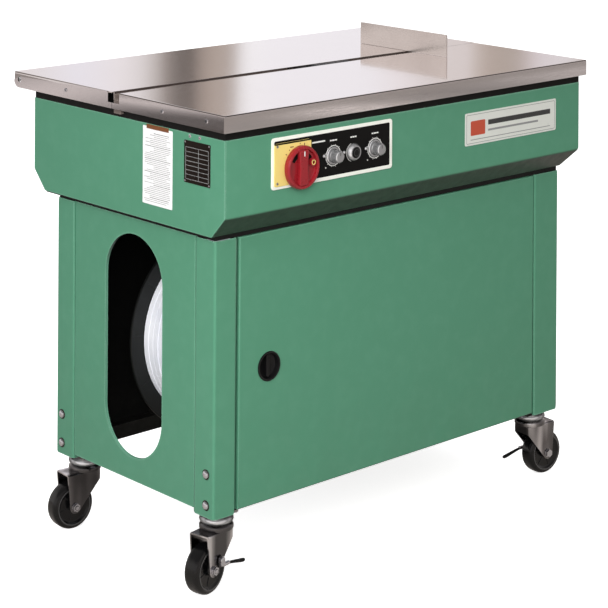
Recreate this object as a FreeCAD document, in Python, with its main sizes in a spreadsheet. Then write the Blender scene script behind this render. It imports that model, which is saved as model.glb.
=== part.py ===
# Semi-automatic strapping machine: stainless table on a painted housing, cabinet on four casters.
# Frame: +Z up, floor at z = 0, X along the table, -Y is the operator's side (controls and door).
# Front is -Y, left is -X. The origin is on the floor at the centre of the bounding box. Millimetres.
import FreeCAD, Part
import os
import re
import math
import Sketcher

doc = FreeCAD.newDocument("strapping_machine")
sheet = doc.addObject("Spreadsheet::Sheet", "dims")

# Driving dimensions. A _left or _front value is a distance towards -X or -Y where it is
# subtracted, so most are positive; _half is half a width and _skin a sheet thickness.
DIMENSIONS = {
    # stainless table
    "table_half": 447.5, "table_front": 278.0, "table_rear": 302.0, "table_top": 788.0,
    "lip_high": 28.0, "table_skin": 2.0, "slot_mid": 5.0, "slot_half": 10.0, "slot_stop": 312.0,
    "slot_gap": 0.5, "seam_half": 0.5, "notch_depth": 17.0, "notch_rear": 26.0,
    "flange_deep": 12.0,
    # lid hinge (rear table plate)
    "lid_axis_y": 285.4, "lid_axis_z": 775.0, "lid_pin": 4.0, "run_gap": 0.05, "lid_ear": 8.5,
    "ear_thick": 6.0,
    # package stop
    "stop_left": 264.5, "stop_skin": 3.0, "stop_front": 89.0, "stop_rear": 141.0,
    "stop_high": 42.0, "stop_foot": 28.0, "stop_lift": 0.6, "foot_thick": 2.5,
    "foot_bolt": 6.0, "foot_bolt_x": 17.0,
    # strap track in the slot
    "track_base": 752.0, "track_drop": 4.0, "track_floor": 13.0, "track_skin": 2.0,
    # frame under the table
    "frame_half": 441.0, "frame_front": 271.0, "frame_rear": 256.0, "frame_bar": 22.0,
    "angle_skin": 8.0, "angle_gap": 40.0, "angle_drop": 4.0,
    # painted housing
    "housing_left": 437.5, "housing_right": 439.5, "housing_front": 267.0,
    "housing_rear": 252.0, "housing_top": 746.0, "housing_bend": 620.0, "housing_base": 586.0,
    "housing_inset": 32.0, "housing_taper": 18.0, "housing_skin": 2.0,
    "floor_end": 18.0, "floor_side": 20.0, "label_thick": 0.8,
    # cabinet
    "cabinet_left": 425.5, "cabinet_right": 423.5, "cabinet_front": 230.0,
    "cabinet_rear": 198.0, "cabinet_base": 128.0, "cabinet_top": 577.0, "cabinet_skin": 2.0,
    "post_wide": 47.0, "post_wide_right": 67.0, "post_deep": 49.5, "post_return": 13.0,
    "panel_base": 135.0, "panel_skin": 1.5, "panel_gap": 1.5, "panel_return": 10.0,
    "panel_sink": 0.5, "bolt_radius": 7.0, "bolt_high": 4.5,
    "window_y": -17.0, "window_z": 362.0, "window_wide": 154.0, "window_tall": 376.0,
    "louvre_top": 500.0, "louvre_pitch": 14.0, "louvre_high": 5.0, "louvre_wide": 150.0,
    # rails and bed
    "rail_left": 410.5, "rail_right": 408.5, "rail_front": 208.0, "rail_rear": 183.0,
    "rail_base": 133.0, "rail_high": 25.0, "rail_wide": 20.0,
    "bed_left": 417.0, "bed_right": 415.0, "bed_front": 222.0, "bed_rear": 190.0,
    "bed_thick": 9.0,
    # door
    "door_left": 372.5, "door_right": 353.5, "door_base": 133.0, "door_top": 576.0,
    "door_skin": 2.0, "door_deep": 18.0, "door_axis_x": 348.5, "door_axis_y": 225.0,
    "door_pin": 2.5, "lock_x": 307.5, "lock_z": 354.0, "lock_radius": 22.0, "lock_rim": 24.5,
    "lock_deep": 19.0, "tongue_half": 8.0, "tongue_long": 84.0,
    # control panel
    "console_left": 339.0, "console_right": 61.0, "console_low": 653.0, "console_high": 737.5,
    "console_border": 6.0, "console_skin": 1.5, "switch_x": 277.5, "switch_z": 684.0,
    "switch_radius": 36.0, "switch_hole": 12.0, "switch_half": 28.0, "switch_bore": 5.0,
    "dial_z": 692.0, "feed_dial": 200.0, "reset_button": 153.5, "tension_dial": 102.5,
    "dial_radius": 11.0, "control_radius": 13.0, "control_gap": 4.0,
    # reel
    "reel_x": 169.5, "reel_z": 330.0, "reel_disc": 185.0, "reel_drum": 100.0,
    "coil_radius": 157.0, "axle_radius": 15.0, "reel_front": 113.0, "reel_rear": 77.0,
    "disc_thick": 5.0, "disc_bore_gap": 6.0, "disc_hole": 22.0, "disc_pitch": 60.0,
    "drum_skin": 4.0, "hub_long": 60.0, "collar_radius": 24.0,
    # strapping head
    "head_top": 744.0, "head_left": 90.0, "head_right": 125.0, "head_front": 27.0,
    "head_rear": 37.0, "plate_thick": 10.0, "cam_z": 640.0, "cam_shaft": 10.0,
    "cam_radius": 24.0, "feed_x": 95.0, "feed_z": 690.0, "feed_radius": 22.0, "feed_shaft": 8.0,
    "pinch_z": 726.6, "pinch_radius": 14.0, "pinch_shaft": 6.0, "belt_thick": 3.0,
    "pulley_large": 35.0, "pulley_small": 18.0, "pulley_flange": 2.0,
    "heater_x": 70.0, "heater_y": 25.0, "heater_pin": 4.0,
    "gripper_left": 12.0, "gripper_right": 8.0, "gripper_front": 4.0, "gripper_rear": 8.0,
    "gripper_gap": 0.1, "motor_x": 230.0, "motor_z": 655.0, "motor_radius": 50.0,
    "motor_shaft": 8.0, "guide_x": 130.0, "guide_z": 548.0, "guide_pin": 5.0,
    "lug_radius": 12.0,
    # strap pool and electrical boxes
    "pool_left": 400.0, "pool_right": 150.0, "pool_front": 18.0, "pool_rear": 28.0,
    "pool_top": 736.0, "pool_skin": 2.0,
    "electric_left": 165.0, "electric_right": 400.0, "electric_front": 226.0,
    "electric_rear": 130.0, "electric_top": 735.0, "electric_skin": 2.0, "electric_lift": 2.0,
    "electric_back": 3.0,
    # casters
    "caster_left": 385.0, "caster_right": 392.0, "caster_front": 190.0, "caster_rear": 168.0,
    "wheel_radius": 40.0, "wheel_half": 15.0, "trail": 30.0, "axle_pin": 4.0,
    "fork_inner": 17.0, "fork_skin": 2.5, "fork_back": 21.0, "fork_nose": 46.0,
    "fork_top": 98.0, "race_radius": 28.5, "race_low": 95.0, "mount_half": 27.0,
    "mount_low": 124.0, "king_pin": 6.0, "king_low": 91.0,
    "brake_z": 44.0, "brake_x": 16.0, "brake_rise": 10.0, "brake_pin": 3.0,
}
for row, (alias, value) in enumerate(DIMENSIONS.items(), start=1):
    sheet.set(f"A{row}", alias)
    sheet.set(f"B{row}", repr(value))
    sheet.setAlias(f"B{row}", alias)
doc.recompute()


# ================================================================ expressions
def on_sheet(expression):
    """The expression with each alias written as a sheet reference."""
    return re.sub(r"[A-Za-z_]+", lambda word: "dims." + word.group(0), str(expression))


def evaluate(expression):
    """The value of a sum of products of aliases and numbers, without brackets."""
    total = 0.0
    for sign, term in re.findall(r"([+-]?)\s*([^+\-]+)", str(expression).strip()):
        product = 1.0
        for operator, name in re.findall(r"([*/]?)\s*([A-Za-z_0-9.]+)", term):
            factor = DIMENSIONS[name] if name in DIMENSIONS else float(name)
            product = product / factor if operator == "/" else product * factor
        total += -product if sign == "-" else product
    return total


def bind(obj, prop, expression):
    obj.setExpression(prop, on_sheet(expression))


def inward(side, edge, near, far):
    """The interval between two depths inward from the face at side * edge (side is -1 or 1)."""
    if side < 0:
        return f"({near}) - ({edge})", f"({far}) - ({edge})"
    return f"({edge}) - ({far})", f"({edge}) - ({near})"


# ================================================================ solids and booleans
SIDES = (-1, 1)
AXIS_TURNS = {
    "X": FreeCAD.Rotation(FreeCAD.Vector(0, 1, 0), 90),
    "Y": FreeCAD.Rotation(FreeCAD.Vector(1, 0, 0), -90),
    "Z": FreeCAD.Rotation(),
}


def place(obj, x, y, z):
    bind(obj, ".Placement.Base.x", x)
    bind(obj, ".Placement.Base.y", y)
    bind(obj, ".Placement.Base.z", z)


def rotate(obj, rotation):
    obj.Placement = FreeCAD.Placement(FreeCAD.Vector(), rotation)


def box(x0, x1, y0, y1, z0, z1):
    solid = doc.addObject("Part::Box", "box")
    bind(solid, "Length", f"({x1}) - ({x0})")
    bind(solid, "Width", f"({y1}) - ({y0})")
    bind(solid, "Height", f"({z1}) - ({z0})")
    place(solid, x0, y0, z0)
    return solid


def stand(solid, axis, start, end, u, v):
    """Gives a round solid its height and lays it along an axis."""
    bind(solid, "Height", f"({end}) - ({start})")
    rotate(solid, AXIS_TURNS[axis])
    place(solid, *{"X": (start, u, v), "Y": (u, start, v), "Z": (u, v, start)}[axis])
    return solid


def cylinder(axis, radius, start, end, u, v):
    """A cylinder along axis; u, v are its other two coordinates in X, Y, Z order."""
    solid = doc.addObject("Part::Cylinder", "cylinder")
    bind(solid, "Radius", radius)
    return stand(solid, axis, start, end, u, v)


def cone(axis, radius_start, radius_end, start, end, u, v):
    solid = doc.addObject("Part::Cone", "cone")
    bind(solid, "Radius1", radius_start)
    bind(solid, "Radius2", radius_end)
    return stand(solid, axis, start, end, u, v)


def wedge(low, high, z0, z1):
    """A frustum standing on z0: low and high are (x0, x1, y0, y1) at z0 and z1."""
    solid = doc.addObject("Part::Wedge", "wedge")
    # The wedge is built along its own Y axis, then stood up, so its Z is the frame's -Y.
    for prop, expression in (
        ("Xmin", low[0]), ("Xmax", low[1]), ("Zmin", f"-({low[3]})"), ("Zmax", f"-({low[2]})"),
        ("Ymin", z0), ("X2min", high[0]), ("X2max", high[1]),
        ("Z2min", f"-({high[3]})"), ("Z2max", f"-({high[2]})"), ("Ymax", z1),
    ):
        bind(solid, prop, expression)
    rotate(solid, FreeCAD.Rotation(FreeCAD.Vector(1, 0, 0), 90))
    return solid


def fuse(*parts, refine=True):
    if len(parts) == 1:
        return parts[0]
    result = doc.addObject("Part::MultiFuse", "fuse")
    result.Shapes = list(parts)
    result.Refine = refine
    return result


def cut(base, *tools, refine=True):
    """Tools run a little past the open faces they cut through."""
    result = doc.addObject("Part::Cut", "cut")
    result.Base = base
    result.Tool = fuse(*tools)
    result.Refine = refine
    return result


def common(first, second):
    result = doc.addObject("Part::Common", "common")
    result.Base = first
    result.Tool = second
    return result


def group(*parts):
    """Separate solids of one node."""
    result = doc.addObject("Part::Compound", "group")
    result.Links = list(parts)
    return result


NODES = {}


def node(label, obj):
    obj.Label = label
    NODES[label] = obj


# ================================================================ turned bodies
def origin_feature(body, role):
    return [feature for feature in body.Origin.OriginFeatures if feature.Role == role][0]


def attached_sketch(body, tag, role):
    sketch = body.newObject("Sketcher::SketchObject", tag)
    sketch.AttachmentSupport = [(origin_feature(body, role), "")]
    sketch.MapMode = "FlatFace"
    return sketch


def constrain(sketch, expression, kind, *where):
    """Adds a dimension bound to the sheet."""
    index = sketch.addConstraint(Sketcher.Constraint(kind, *where, evaluate(expression)))
    sketch.setExpression(f"Constraints[{index}]", on_sheet(expression))


def profile(body, points):
    """A closed polygon sketch whose corners are bound to the sheet."""
    sketch = attached_sketch(body, "outline", "XZ_Plane")
    corners = [FreeCAD.Vector(evaluate(a), evaluate(b), 0) for a, b in points]
    n = len(points)
    for i in range(n):
        sketch.addGeometry(Part.LineSegment(corners[i], corners[(i + 1) % n]), False)
    for i in range(n):
        sketch.addConstraint(Sketcher.Constraint("Coincident", i, 2, (i + 1) % n, 1))
    for i, point in enumerate(points):
        # A corner on an axis is held to it, since a zero distance can't be constrained.
        for kind, axis, expression in zip(("DistanceX", "DistanceY"), (-2, -1), point):
            if abs(evaluate(expression)) < 1e-9:
                sketch.addConstraint(Sketcher.Constraint("PointOnObject", i, 1, axis))
            else:
                constrain(sketch, expression, kind, -1, 1, i, 1)
    return sketch


def lathe(points, axis, x, y, z):
    """A turned piece: (radius, distance along axis) corners, starting from x, y, z."""
    body = doc.addObject("PartDesign::Body", "turned")
    sketch = profile(body, points)
    revolution = body.newObject("PartDesign::Revolution", "revolution")
    revolution.Profile = sketch
    revolution.ReferenceAxis = (sketch, ["V_Axis"])
    revolution.Angle = 360.0
    rotate(body, AXIS_TURNS[axis])
    place(body, x, y, z)
    return body


def round_hole_pattern(body, radius, pitch, number, depth):
    """Round holes at a pitch radius, cut through a turned body from its lower face."""
    sketch = attached_sketch(body, "hole", "XY_Plane")
    centre = FreeCAD.Vector(evaluate(pitch), 0, 0)
    circle = Part.Circle(centre, FreeCAD.Vector(0, 0, 1), evaluate(radius))
    sketch.addGeometry(circle, False)
    sketch.addConstraint(Sketcher.Constraint("PointOnObject", 0, 3, -1))
    constrain(sketch, pitch, "DistanceX", -1, 1, 0, 3)
    constrain(sketch, radius, "Radius", 0)
    doc.recompute()
    pocket = body.newObject("PartDesign::Pocket", "pocket")
    pocket.Profile = sketch
    pocket.Type = 0  # to a length
    pocket.Length = evaluate(depth)
    pocket.Reversed = True
    doc.recompute()
    pattern = body.newObject("PartDesign::PolarPattern", "polar")
    pattern.Originals = [pocket]
    pattern.Axis = (origin_feature(body, "Z_Axis"), [""])
    pattern.Angle = 360.0
    pattern.Occurrences = number
    body.Tip = pattern
    doc.recompute()
    return body


# ================================================================ stainless table
LEFT, RIGHT = "-table_half", "table_half"
FRONT, REAR = "-table_front", "table_rear"
LEFT_INNER, RIGHT_INNER = "table_skin - table_half", "table_half - table_skin"
FRONT_INNER, REAR_INNER = "table_skin - table_front", "table_rear - table_skin"
UNDERSIDE = "table_top - table_skin"
TOP_Z = (UNDERSIDE, "table_top")
LIP_LOW = "table_top - lip_high"
LIP_Z = (LIP_LOW, UNDERSIDE)
NOTCH_Z = (LIP_LOW, "table_top - notch_depth")
FLANGE_Z = (f"{UNDERSIDE} - flange_deep", UNDERSIDE)
SLOT_FRONT, SLOT_REAR = "slot_mid - slot_half", "slot_mid + slot_half"
SEAM_FRONT, SEAM_REAR = "slot_mid - seam_half", "slot_mid + seam_half"
TRACK_Y = (f"{SLOT_FRONT} + slot_gap", f"{SLOT_REAR} - slot_gap")
LID_AXIS = ("lid_axis_y", "lid_axis_z")

# Front plate: flat top with a turned-down lip on three sides and a flange along the slot.
node("front_table_plate", fuse(
    box(LEFT, "stop_left", FRONT, SLOT_FRONT, *TOP_Z),
    box("stop_left", RIGHT, FRONT, SLOT_FRONT, *TOP_Z),
    box("slot_stop", RIGHT, SLOT_FRONT, SEAM_FRONT, *TOP_Z),
    box(LEFT, RIGHT, FRONT, FRONT_INNER, *LIP_Z),
    box(LEFT, LEFT_INNER, FRONT_INNER, SLOT_FRONT, *LIP_Z),
    box(LEFT, LEFT_INNER, SLOT_FRONT, SLOT_REAR, *NOTCH_Z),
    box(RIGHT_INNER, RIGHT, FRONT_INNER, SEAM_FRONT, *LIP_Z),
    box(LEFT_INNER, "slot_stop", f"{SLOT_FRONT} - table_skin", SLOT_FRONT, *FLANGE_Z),
    refine=False,
))

# Rear plate: a similar pressing to the rear; it lifts on two pins near its rear corners.
rear_plate = fuse(
    box(LEFT, "stop_left", SLOT_REAR, REAR, *TOP_Z),
    box("stop_left", RIGHT, SLOT_REAR, REAR, *TOP_Z),
    box("slot_stop", RIGHT, SEAM_REAR, SLOT_REAR, *TOP_Z),
    box(LEFT, RIGHT, REAR_INNER, REAR, *LIP_Z),
    box(LEFT, LEFT_INNER, "notch_rear", REAR_INNER, *LIP_Z),
    box(LEFT, LEFT_INNER, f"{SLOT_REAR} + slot_gap", "notch_rear", *NOTCH_Z),
    box(RIGHT_INNER, RIGHT, SEAM_REAR, REAR_INNER, *LIP_Z),
    box(LEFT_INNER, "slot_stop", SLOT_REAR, f"{SLOT_REAR} + table_skin", *FLANGE_Z),
    refine=False,
)
node("rear_table_plate", cut(
    rear_plate,
    *[cylinder("X", "lid_pin + run_gap", *inward(side, "table_half", -1, "table_skin + 1"),
               *LID_AXIS) for side in SIDES],
    refine=False,
))

# Package stop: sheet with its foot bolted to the rear plate; it bridges the slot and stands
# just clear of the front plate.
STOP_BOLTS_Y = (48, 128)
node("package_stop", fuse(
    box("stop_left", "stop_left + stop_skin", "-stop_front", "stop_rear",
        "table_top + stop_lift", "table_top + stop_high"),
    box("stop_left", "stop_left + stop_foot", f"{SLOT_REAR} + 8", "stop_rear",
        "table_top", "table_top + foot_thick"),
    *[cylinder("Z", "foot_bolt", "table_top + 2", "table_top + 6", "stop_left + foot_bolt_x", y)
      for y in STOP_BOLTS_Y],
))

# Strap track in the slot: a length of U channel either side of the strapping head.
TRACK_SPANS = (("4 - table_half", "-30"), ("116", "slot_stop - 1"))  # x0, x1


def track(x0, x1):
    return cut(
        box(x0, x1, *TRACK_Y, "track_base", "table_top - track_drop"),
        box(f"{x0} - 1", f"{x1} + 1", f"{TRACK_Y[0]} + track_skin", f"{TRACK_Y[1]} - track_skin",
            "table_top - track_floor", "table_top"))


node("slot_track", group(*[track(*span) for span in TRACK_SPANS]))

# Frame between table and housing, with a raised angle under each plate and two hinge ears.
RING_Z = ("housing_top", LIP_LOW)
FRONT_ANGLE_Z = (LIP_LOW, UNDERSIDE)
REAR_ANGLE_Z = (LIP_LOW, "table_top - angle_drop")
REAR_ANGLE_Y = "frame_rear - angle_skin"
frame_ring = cut(
    box("-frame_half", "frame_half", "-frame_front", "frame_rear", *RING_Z),
    box("frame_bar - frame_half", "frame_half - frame_bar", "frame_bar - frame_front",
        "frame_rear - frame_bar", "housing_top - 1", "table_top"))


def frame_sides(depth, *extent):
    """A box on each side of the frame, running inward from its end by depth."""
    return [box(*inward(side, "frame_half", 0, depth), *extent) for side in SIDES]


node("table_frame", cut(
    fuse(
        frame_ring,
        box("-frame_half", "frame_half", "-frame_front", "angle_skin - frame_front",
            *FRONT_ANGLE_Z),
        *frame_sides("angle_skin", "-frame_front", "slot_mid - angle_gap", *FRONT_ANGLE_Z),
        *frame_sides("angle_skin", "slot_mid + angle_gap", "frame_rear", *REAR_ANGLE_Z),
        box("-frame_half", "frame_half", REAR_ANGLE_Y, "frame_rear", *REAR_ANGLE_Z),
        *frame_sides("ear_thick", REAR_ANGLE_Y, "lid_axis_y",
                     "lid_axis_z - lid_ear", "lid_axis_z + lid_ear"),
        *[cylinder("X", "lid_ear", *inward(side, "frame_half", 0, "ear_thick"), *LID_AXIS)
          for side in SIDES],
        *[cylinder("X", "lid_pin",
                   *inward(side, "table_half", 0.2, "table_half - frame_half + 1"), *LID_AXIS)
          for side in SIDES],
    ),
    box("-table_half - 1", "frame_bar - frame_half + 1", *TRACK_Y, "track_base", "table_top"),
))

# ================================================================ painted housing
FACE = "-housing_front"
DIALS = ("-feed_dial", "-reset_button", "-tension_dial")


def hull(skin):
    """The housing's outside (skin 0) or inside volume: upright walls over a flared lower band.

    The inside volume runs out through the left end."""
    x0 = f"-housing_left - 2*{skin}"
    low = (x0, f"housing_right - housing_taper - {skin}",
           f"{FACE} + housing_inset + {skin}", f"housing_rear - housing_inset - {skin}")
    high = (x0, f"housing_right - {skin}", f"{FACE} + {skin}", f"housing_rear - {skin}")
    return fuse(wedge(low, high, "housing_base", "housing_bend"),
                box(*high, "housing_bend", f"housing_top + {skin}"))


def control_holes(dial_hole, start, end):
    """The main switch hole and the three dial holes, as cutting cylinders."""
    return [cylinder("Y", "switch_hole", start, end, "-switch_x", "switch_z"),
            *[cylinder("Y", dial_hole, start, end, x, "dial_z") for x in DIALS]]


node("housing_shell", cut(
    hull("0"),
    common(hull("housing_skin"),
           box("-housing_left - 50", "housing_right", FACE, "housing_rear",
               "housing_base + housing_skin", "housing_top + 10")),
    # room for the separate left end
    box("-housing_left - 1", "-housing_left + housing_skin + 0.1", f"{FACE} - 1",
        "housing_rear + 1", "housing_base - 1", "housing_top + 1"),
    # opening in the floor
    box("-housing_left - 1", "housing_right - housing_taper - floor_end",
        f"{FACE} + housing_inset + floor_side", "housing_rear - housing_inset - floor_side",
        "housing_base - 1", "housing_base + 5"),
    *control_holes(6, f"{FACE} - 1", f"{FACE} + 10"),
))
node("housing_left_end", common(
    hull("0"),
    box("-housing_left", "-housing_left + housing_skin", FACE, "housing_rear",
        "housing_base", "housing_top")))

# ================================================================ cabinet
END_EDGES = {-1: "cabinet_left", 1: "cabinet_right"}
SIDE_EDGES = {-1: "cabinet_front", 1: "cabinet_rear"}
POST_Z = ("cabinet_base", "cabinet_top")
PANEL_Z = ("panel_base", "cabinet_top")


def post(x_side, y_side, wide):
    """A folded corner post: two walls, each with a return at its free edge."""
    def along_x(near, far):
        return inward(x_side, END_EDGES[x_side], near, far)

    def along_y(near, far):
        return inward(y_side, SIDE_EDGES[y_side], near, far)

    fold = ("cabinet_skin", "cabinet_skin + post_return")
    return fuse(
        box(*along_x(0, wide), *along_y(0, "cabinet_skin"), *POST_Z),
        box(*along_x(0, "cabinet_skin"), *along_y(0, "post_deep"), *POST_Z),
        box(*along_x(f"{wide} - cabinet_skin", wide), *along_y(*fold), *POST_Z),
        box(*along_x(*fold), *along_y("post_deep - cabinet_skin", "post_deep"), *POST_Z))


node("front_left_post", post(-1, -1, "post_wide"))
node("front_right_post", post(1, -1, "post_wide_right"))
node("rear_posts", group(*[post(side, 1, "post_wide") for side in SIDES]))

# Panels between the posts, set back from the post faces and folded in at their edges.
PANEL_INNER = "panel_sink + panel_skin"
PANEL_SKIN = ("panel_sink", PANEL_INNER)
PANEL_FOLD = (PANEL_INNER, f"{PANEL_INNER} + panel_return")


def panel_edge(side, edge, post_size):
    """The interval across the folded edge of a panel, beside a post."""
    start = f"{post_size} + panel_gap"
    return inward(side, edge, start, f"{start} + panel_skin")


def end_panel(side):
    front_fold, rear_fold = [panel_edge(y, SIDE_EDGES[y], "post_deep") for y in SIDES]
    fold_x = inward(side, END_EDGES[side], *PANEL_FOLD)
    return fuse(
        box(*inward(side, END_EDGES[side], *PANEL_SKIN), front_fold[0], rear_fold[1], *PANEL_Z),
        box(*fold_x, *front_fold, *PANEL_Z),
        box(*fold_x, *rear_fold, *PANEL_Z))


# Reel window in the left end: a slot with round ends.
WINDOW_X = ("-cabinet_left - 1", "8 - cabinet_left")
WINDOW_LOW = "window_z - window_tall/2 + window_wide/2"
WINDOW_HIGH = "window_z + window_tall/2 - window_wide/2"
node("left_end_panel", cut(
    end_panel(-1),
    box(*WINDOW_X, "window_y - window_wide/2", "window_y + window_wide/2",
        WINDOW_LOW, WINDOW_HIGH),
    *[cylinder("X", "window_wide/2", *WINDOW_X, "window_y", z)
      for z in (WINDOW_LOW, WINDOW_HIGH)]))
node("right_end_panel", end_panel(1))

# Rear panel with two columns of louvre slots and the hole for the power cord.
LOUVRE_ROWS = 8
LOUVRE_COLUMNS = (40, 205)  # left end of each column
CORD_X, CORD_Z = 300, 270
left_fold, right_fold = [panel_edge(side, END_EDGES[side], "post_wide") for side in SIDES]
fold_y = inward(1, "cabinet_rear", *PANEL_FOLD)
louvres = [
    box(x, f"{x} + louvre_wide", "cabinet_rear - 5", "cabinet_rear + 1",
        f"louvre_top - louvre_pitch*{k}", f"louvre_top + louvre_high - louvre_pitch*{k}")
    for k in range(LOUVRE_ROWS) for x in LOUVRE_COLUMNS]
node("rear_panel", cut(
    fuse(box(left_fold[0], right_fold[1], *inward(1, "cabinet_rear", *PANEL_SKIN), *PANEL_Z),
         box(*left_fold, *fold_y, *PANEL_Z),
         box(*right_fold, *fold_y, *PANEL_Z)),
    cylinder("Y", 10, "cabinet_rear - 5", "cabinet_rear + 2", CORD_X, CORD_Z),
    *louvres))

# Bottom rails, open in the middle, with the door's lower pivot bracket and pin.
RAIL_TOP = "rail_base + rail_high"
PIVOT_X = ("door_axis_x - 7", "door_axis_x + 6")
PIVOT_FRONT = "-door_axis_y - 3.5"
node("bottom_rails", fuse(
    cut(box("-rail_left", "rail_right", "-rail_front", "rail_rear", "rail_base", RAIL_TOP),
        box("rail_wide - rail_left", "rail_right - rail_wide", "rail_wide - rail_front",
            "rail_rear - rail_wide", "rail_base - 1", f"{RAIL_TOP} + 1")),
    box(*PIVOT_X, PIVOT_FRONT, "8 - rail_front", "rail_base - 4", "rail_base - 1.5"),
    box(*PIVOT_X, "-rail_front", "8 - rail_front", "rail_base - 4", "rail_base + 2"),
    cylinder("Z", "door_pin - run_gap", "rail_base - 2", "rail_base + 6",
             "door_axis_x", "-door_axis_y"),
))

# Bed plate on the posts, with the door's upper pivot pin and the guide roller lugs.
BED_TOP = "cabinet_top + bed_thick"
BED_Z = ("cabinet_top", BED_TOP)
BED_CUT_Z = ("cabinet_top - 1", f"{BED_TOP} + 1")
HEAD_OPENING = (-80, 115, -20, 30)  # x0, x1, y0, y1
POOL_OPENING = (-395, -155, -10, 20)
LUGS_Y = ((-52, -46), (56, 62))


def lug(y0, y1):
    return cut(
        fuse(box("-guide_x - lug_radius", "lug_radius - guide_x", y0, y1,
                 "guide_z", "cabinet_top + 1"),
             cylinder("Y", "lug_radius", y0, y1, "-guide_x", "guide_z")),
        cylinder("Y", "guide_pin + run_gap", y0 - 1, y1 + 1, "-guide_x", "guide_z"))


node("machine_bed", fuse(
    cut(box("-bed_left", "bed_right", "-bed_front", "bed_rear", *BED_Z),
        box(*HEAD_OPENING, *BED_CUT_Z),
        box(*POOL_OPENING, *BED_CUT_Z)),
    box(*PIVOT_X, PIVOT_FRONT, "-bed_front + 1", *BED_Z),
    cylinder("Z", "door_pin - run_gap", "door_top - 7", "cabinet_top + 1",
             "door_axis_x", "-door_axis_y"),
    *[lug(*span) for span in LUGS_Y],
))

# ================================================================ front door
# The door is a tray that pivots on pins at its right edge.
DOOR_FACE = "-cabinet_front"
DOOR_X = ("-door_left", "door_right")
DOOR_Z = ("door_base", "door_top")
DOOR_RIM_Y = (f"{DOOR_FACE} + door_skin", f"{DOOR_FACE} + door_deep")
LOCK_AT = ("-lock_x", "lock_z")
node("front_door", cut(
    fuse(box(*DOOR_X, DOOR_FACE, DOOR_RIM_Y[0], *DOOR_Z),
         box("-door_left", "door_skin - door_left", *DOOR_RIM_Y, *DOOR_Z),
         box("door_right - door_skin", "door_right", *DOOR_RIM_Y, *DOOR_Z),
         box(*DOOR_X, *DOOR_RIM_Y, "door_base", "door_base + door_skin"),
         box(*DOOR_X, *DOOR_RIM_Y, "door_top - door_skin", "door_top")),
    cylinder("Y", "lock_radius + run_gap", f"{DOOR_FACE} - 2", f"{DOOR_FACE} + 6", *LOCK_AT),
    *[cylinder("Z", "door_pin", z0, z1, "door_axis_x", "-door_axis_y")
      for z0, z1 in (("door_base - 1", "door_base + 5"), ("door_top - 5", "door_top + 1"))],
))

# Quarter-turn lock: round cup with a finger bar, cam tongue hanging down behind.
node("door_lock", cut(
    fuse(cylinder("Y", "lock_rim", f"{DOOR_FACE} - 2", DOOR_FACE, *LOCK_AT),
         cylinder("Y", "lock_radius", DOOR_FACE, f"{DOOR_FACE} + lock_deep", *LOCK_AT),
         box("-lock_x - tongue_half", "tongue_half - lock_x", f"{DOOR_FACE} + lock_deep",
             f"{DOOR_FACE} + lock_deep + 3", "lock_z - tongue_long", "lock_z + tongue_half")),
    cut(cylinder("Y", "lock_radius - 3", f"{DOOR_FACE} - 3", f"{DOOR_FACE} + 9", *LOCK_AT),
        box("-lock_x - 4", "4 - lock_x", f"{DOOR_FACE} + 1", f"{DOOR_FACE} + 10",
            "lock_z - 30", "lock_z + 30")),
))

# ================================================================ control panel
CONSOLE_FACE = f"{FACE} - console_skin"
CONTROL_BACK = f"{FACE} + control_gap"
INSIDE_X = ("console_border - console_left", "-console_right - console_border")
INSIDE_Z = ("console_low + console_border", "console_high - console_border")
node("control_bezel", cut(
    box("-console_left", "-console_right", CONSOLE_FACE, FACE, "console_low", "console_high"),
    box(*INSIDE_X, f"{FACE} - 3", f"{FACE} + 1", *INSIDE_Z)))

CONTROL_SIZES = ((3, 26), (3.5, 30), (3, 26))  # shaft radius, body length; in DIALS order


def control_body(x, shaft, length):
    """The body of a control behind the housing wall, with the bore its shaft turns in."""
    return cut(
        cylinder("Y", "control_radius", CONTROL_BACK, f"{CONTROL_BACK} + {length}", x, "dial_z"),
        cylinder("Y", f"{shaft} + run_gap", FACE, f"{FACE} + {length} + 2", x, "dial_z"))


node("control_face", group(
    cut(box(*INSIDE_X, f"{CONSOLE_FACE} + 0.1", FACE, *INSIDE_Z),
        *control_holes(5, f"{FACE} - 4", f"{FACE} + 1")),
    # body of the main switch
    cut(box("-switch_x - switch_half", "switch_half - switch_x", CONTROL_BACK, f"{FACE} + 50",
            "switch_z - switch_half", "switch_z + switch_half"),
        cylinder("Y", "switch_bore + run_gap", FACE, f"{FACE} + 48", "-switch_x", "switch_z")),
    *[control_body(x, *sizes) for x, sizes in zip(DIALS, CONTROL_SIZES)]))
node("switch_plate", cut(
    box("-switch_x - 56", "25 - switch_x", f"{FACE} - 3.4", CONSOLE_FACE, 658, 728),
    cylinder("Y", "switch_hole", f"{FACE} - 6", f"{FACE} + 1", "-switch_x", "switch_z")))

# Turned outlines: radius, distance behind the front of the piece.
SWITCH_OUTLINE = [
    ("switch_bore", 30), ("switch_bore", 63), (0, 63), (0, 14), (30, 14),
    ("switch_radius - 1", 19), ("switch_radius", 22), ("switch_radius", 30)]
DIAL_OUTLINE = [
    (0, 0.5), ("dial_radius - 2", 0.5), ("dial_radius - 1", 2), ("dial_radius - 1", 11),
    ("dial_radius", 12), ("dial_radius", 16), (3, 16), (3, 38), (0, 38)]
BUTTON_OUTLINE = [(0, 0), (8, 0), (9, 1), (9, 4), (3.5, 4), (3.5, 30), (0, 30)]

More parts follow.
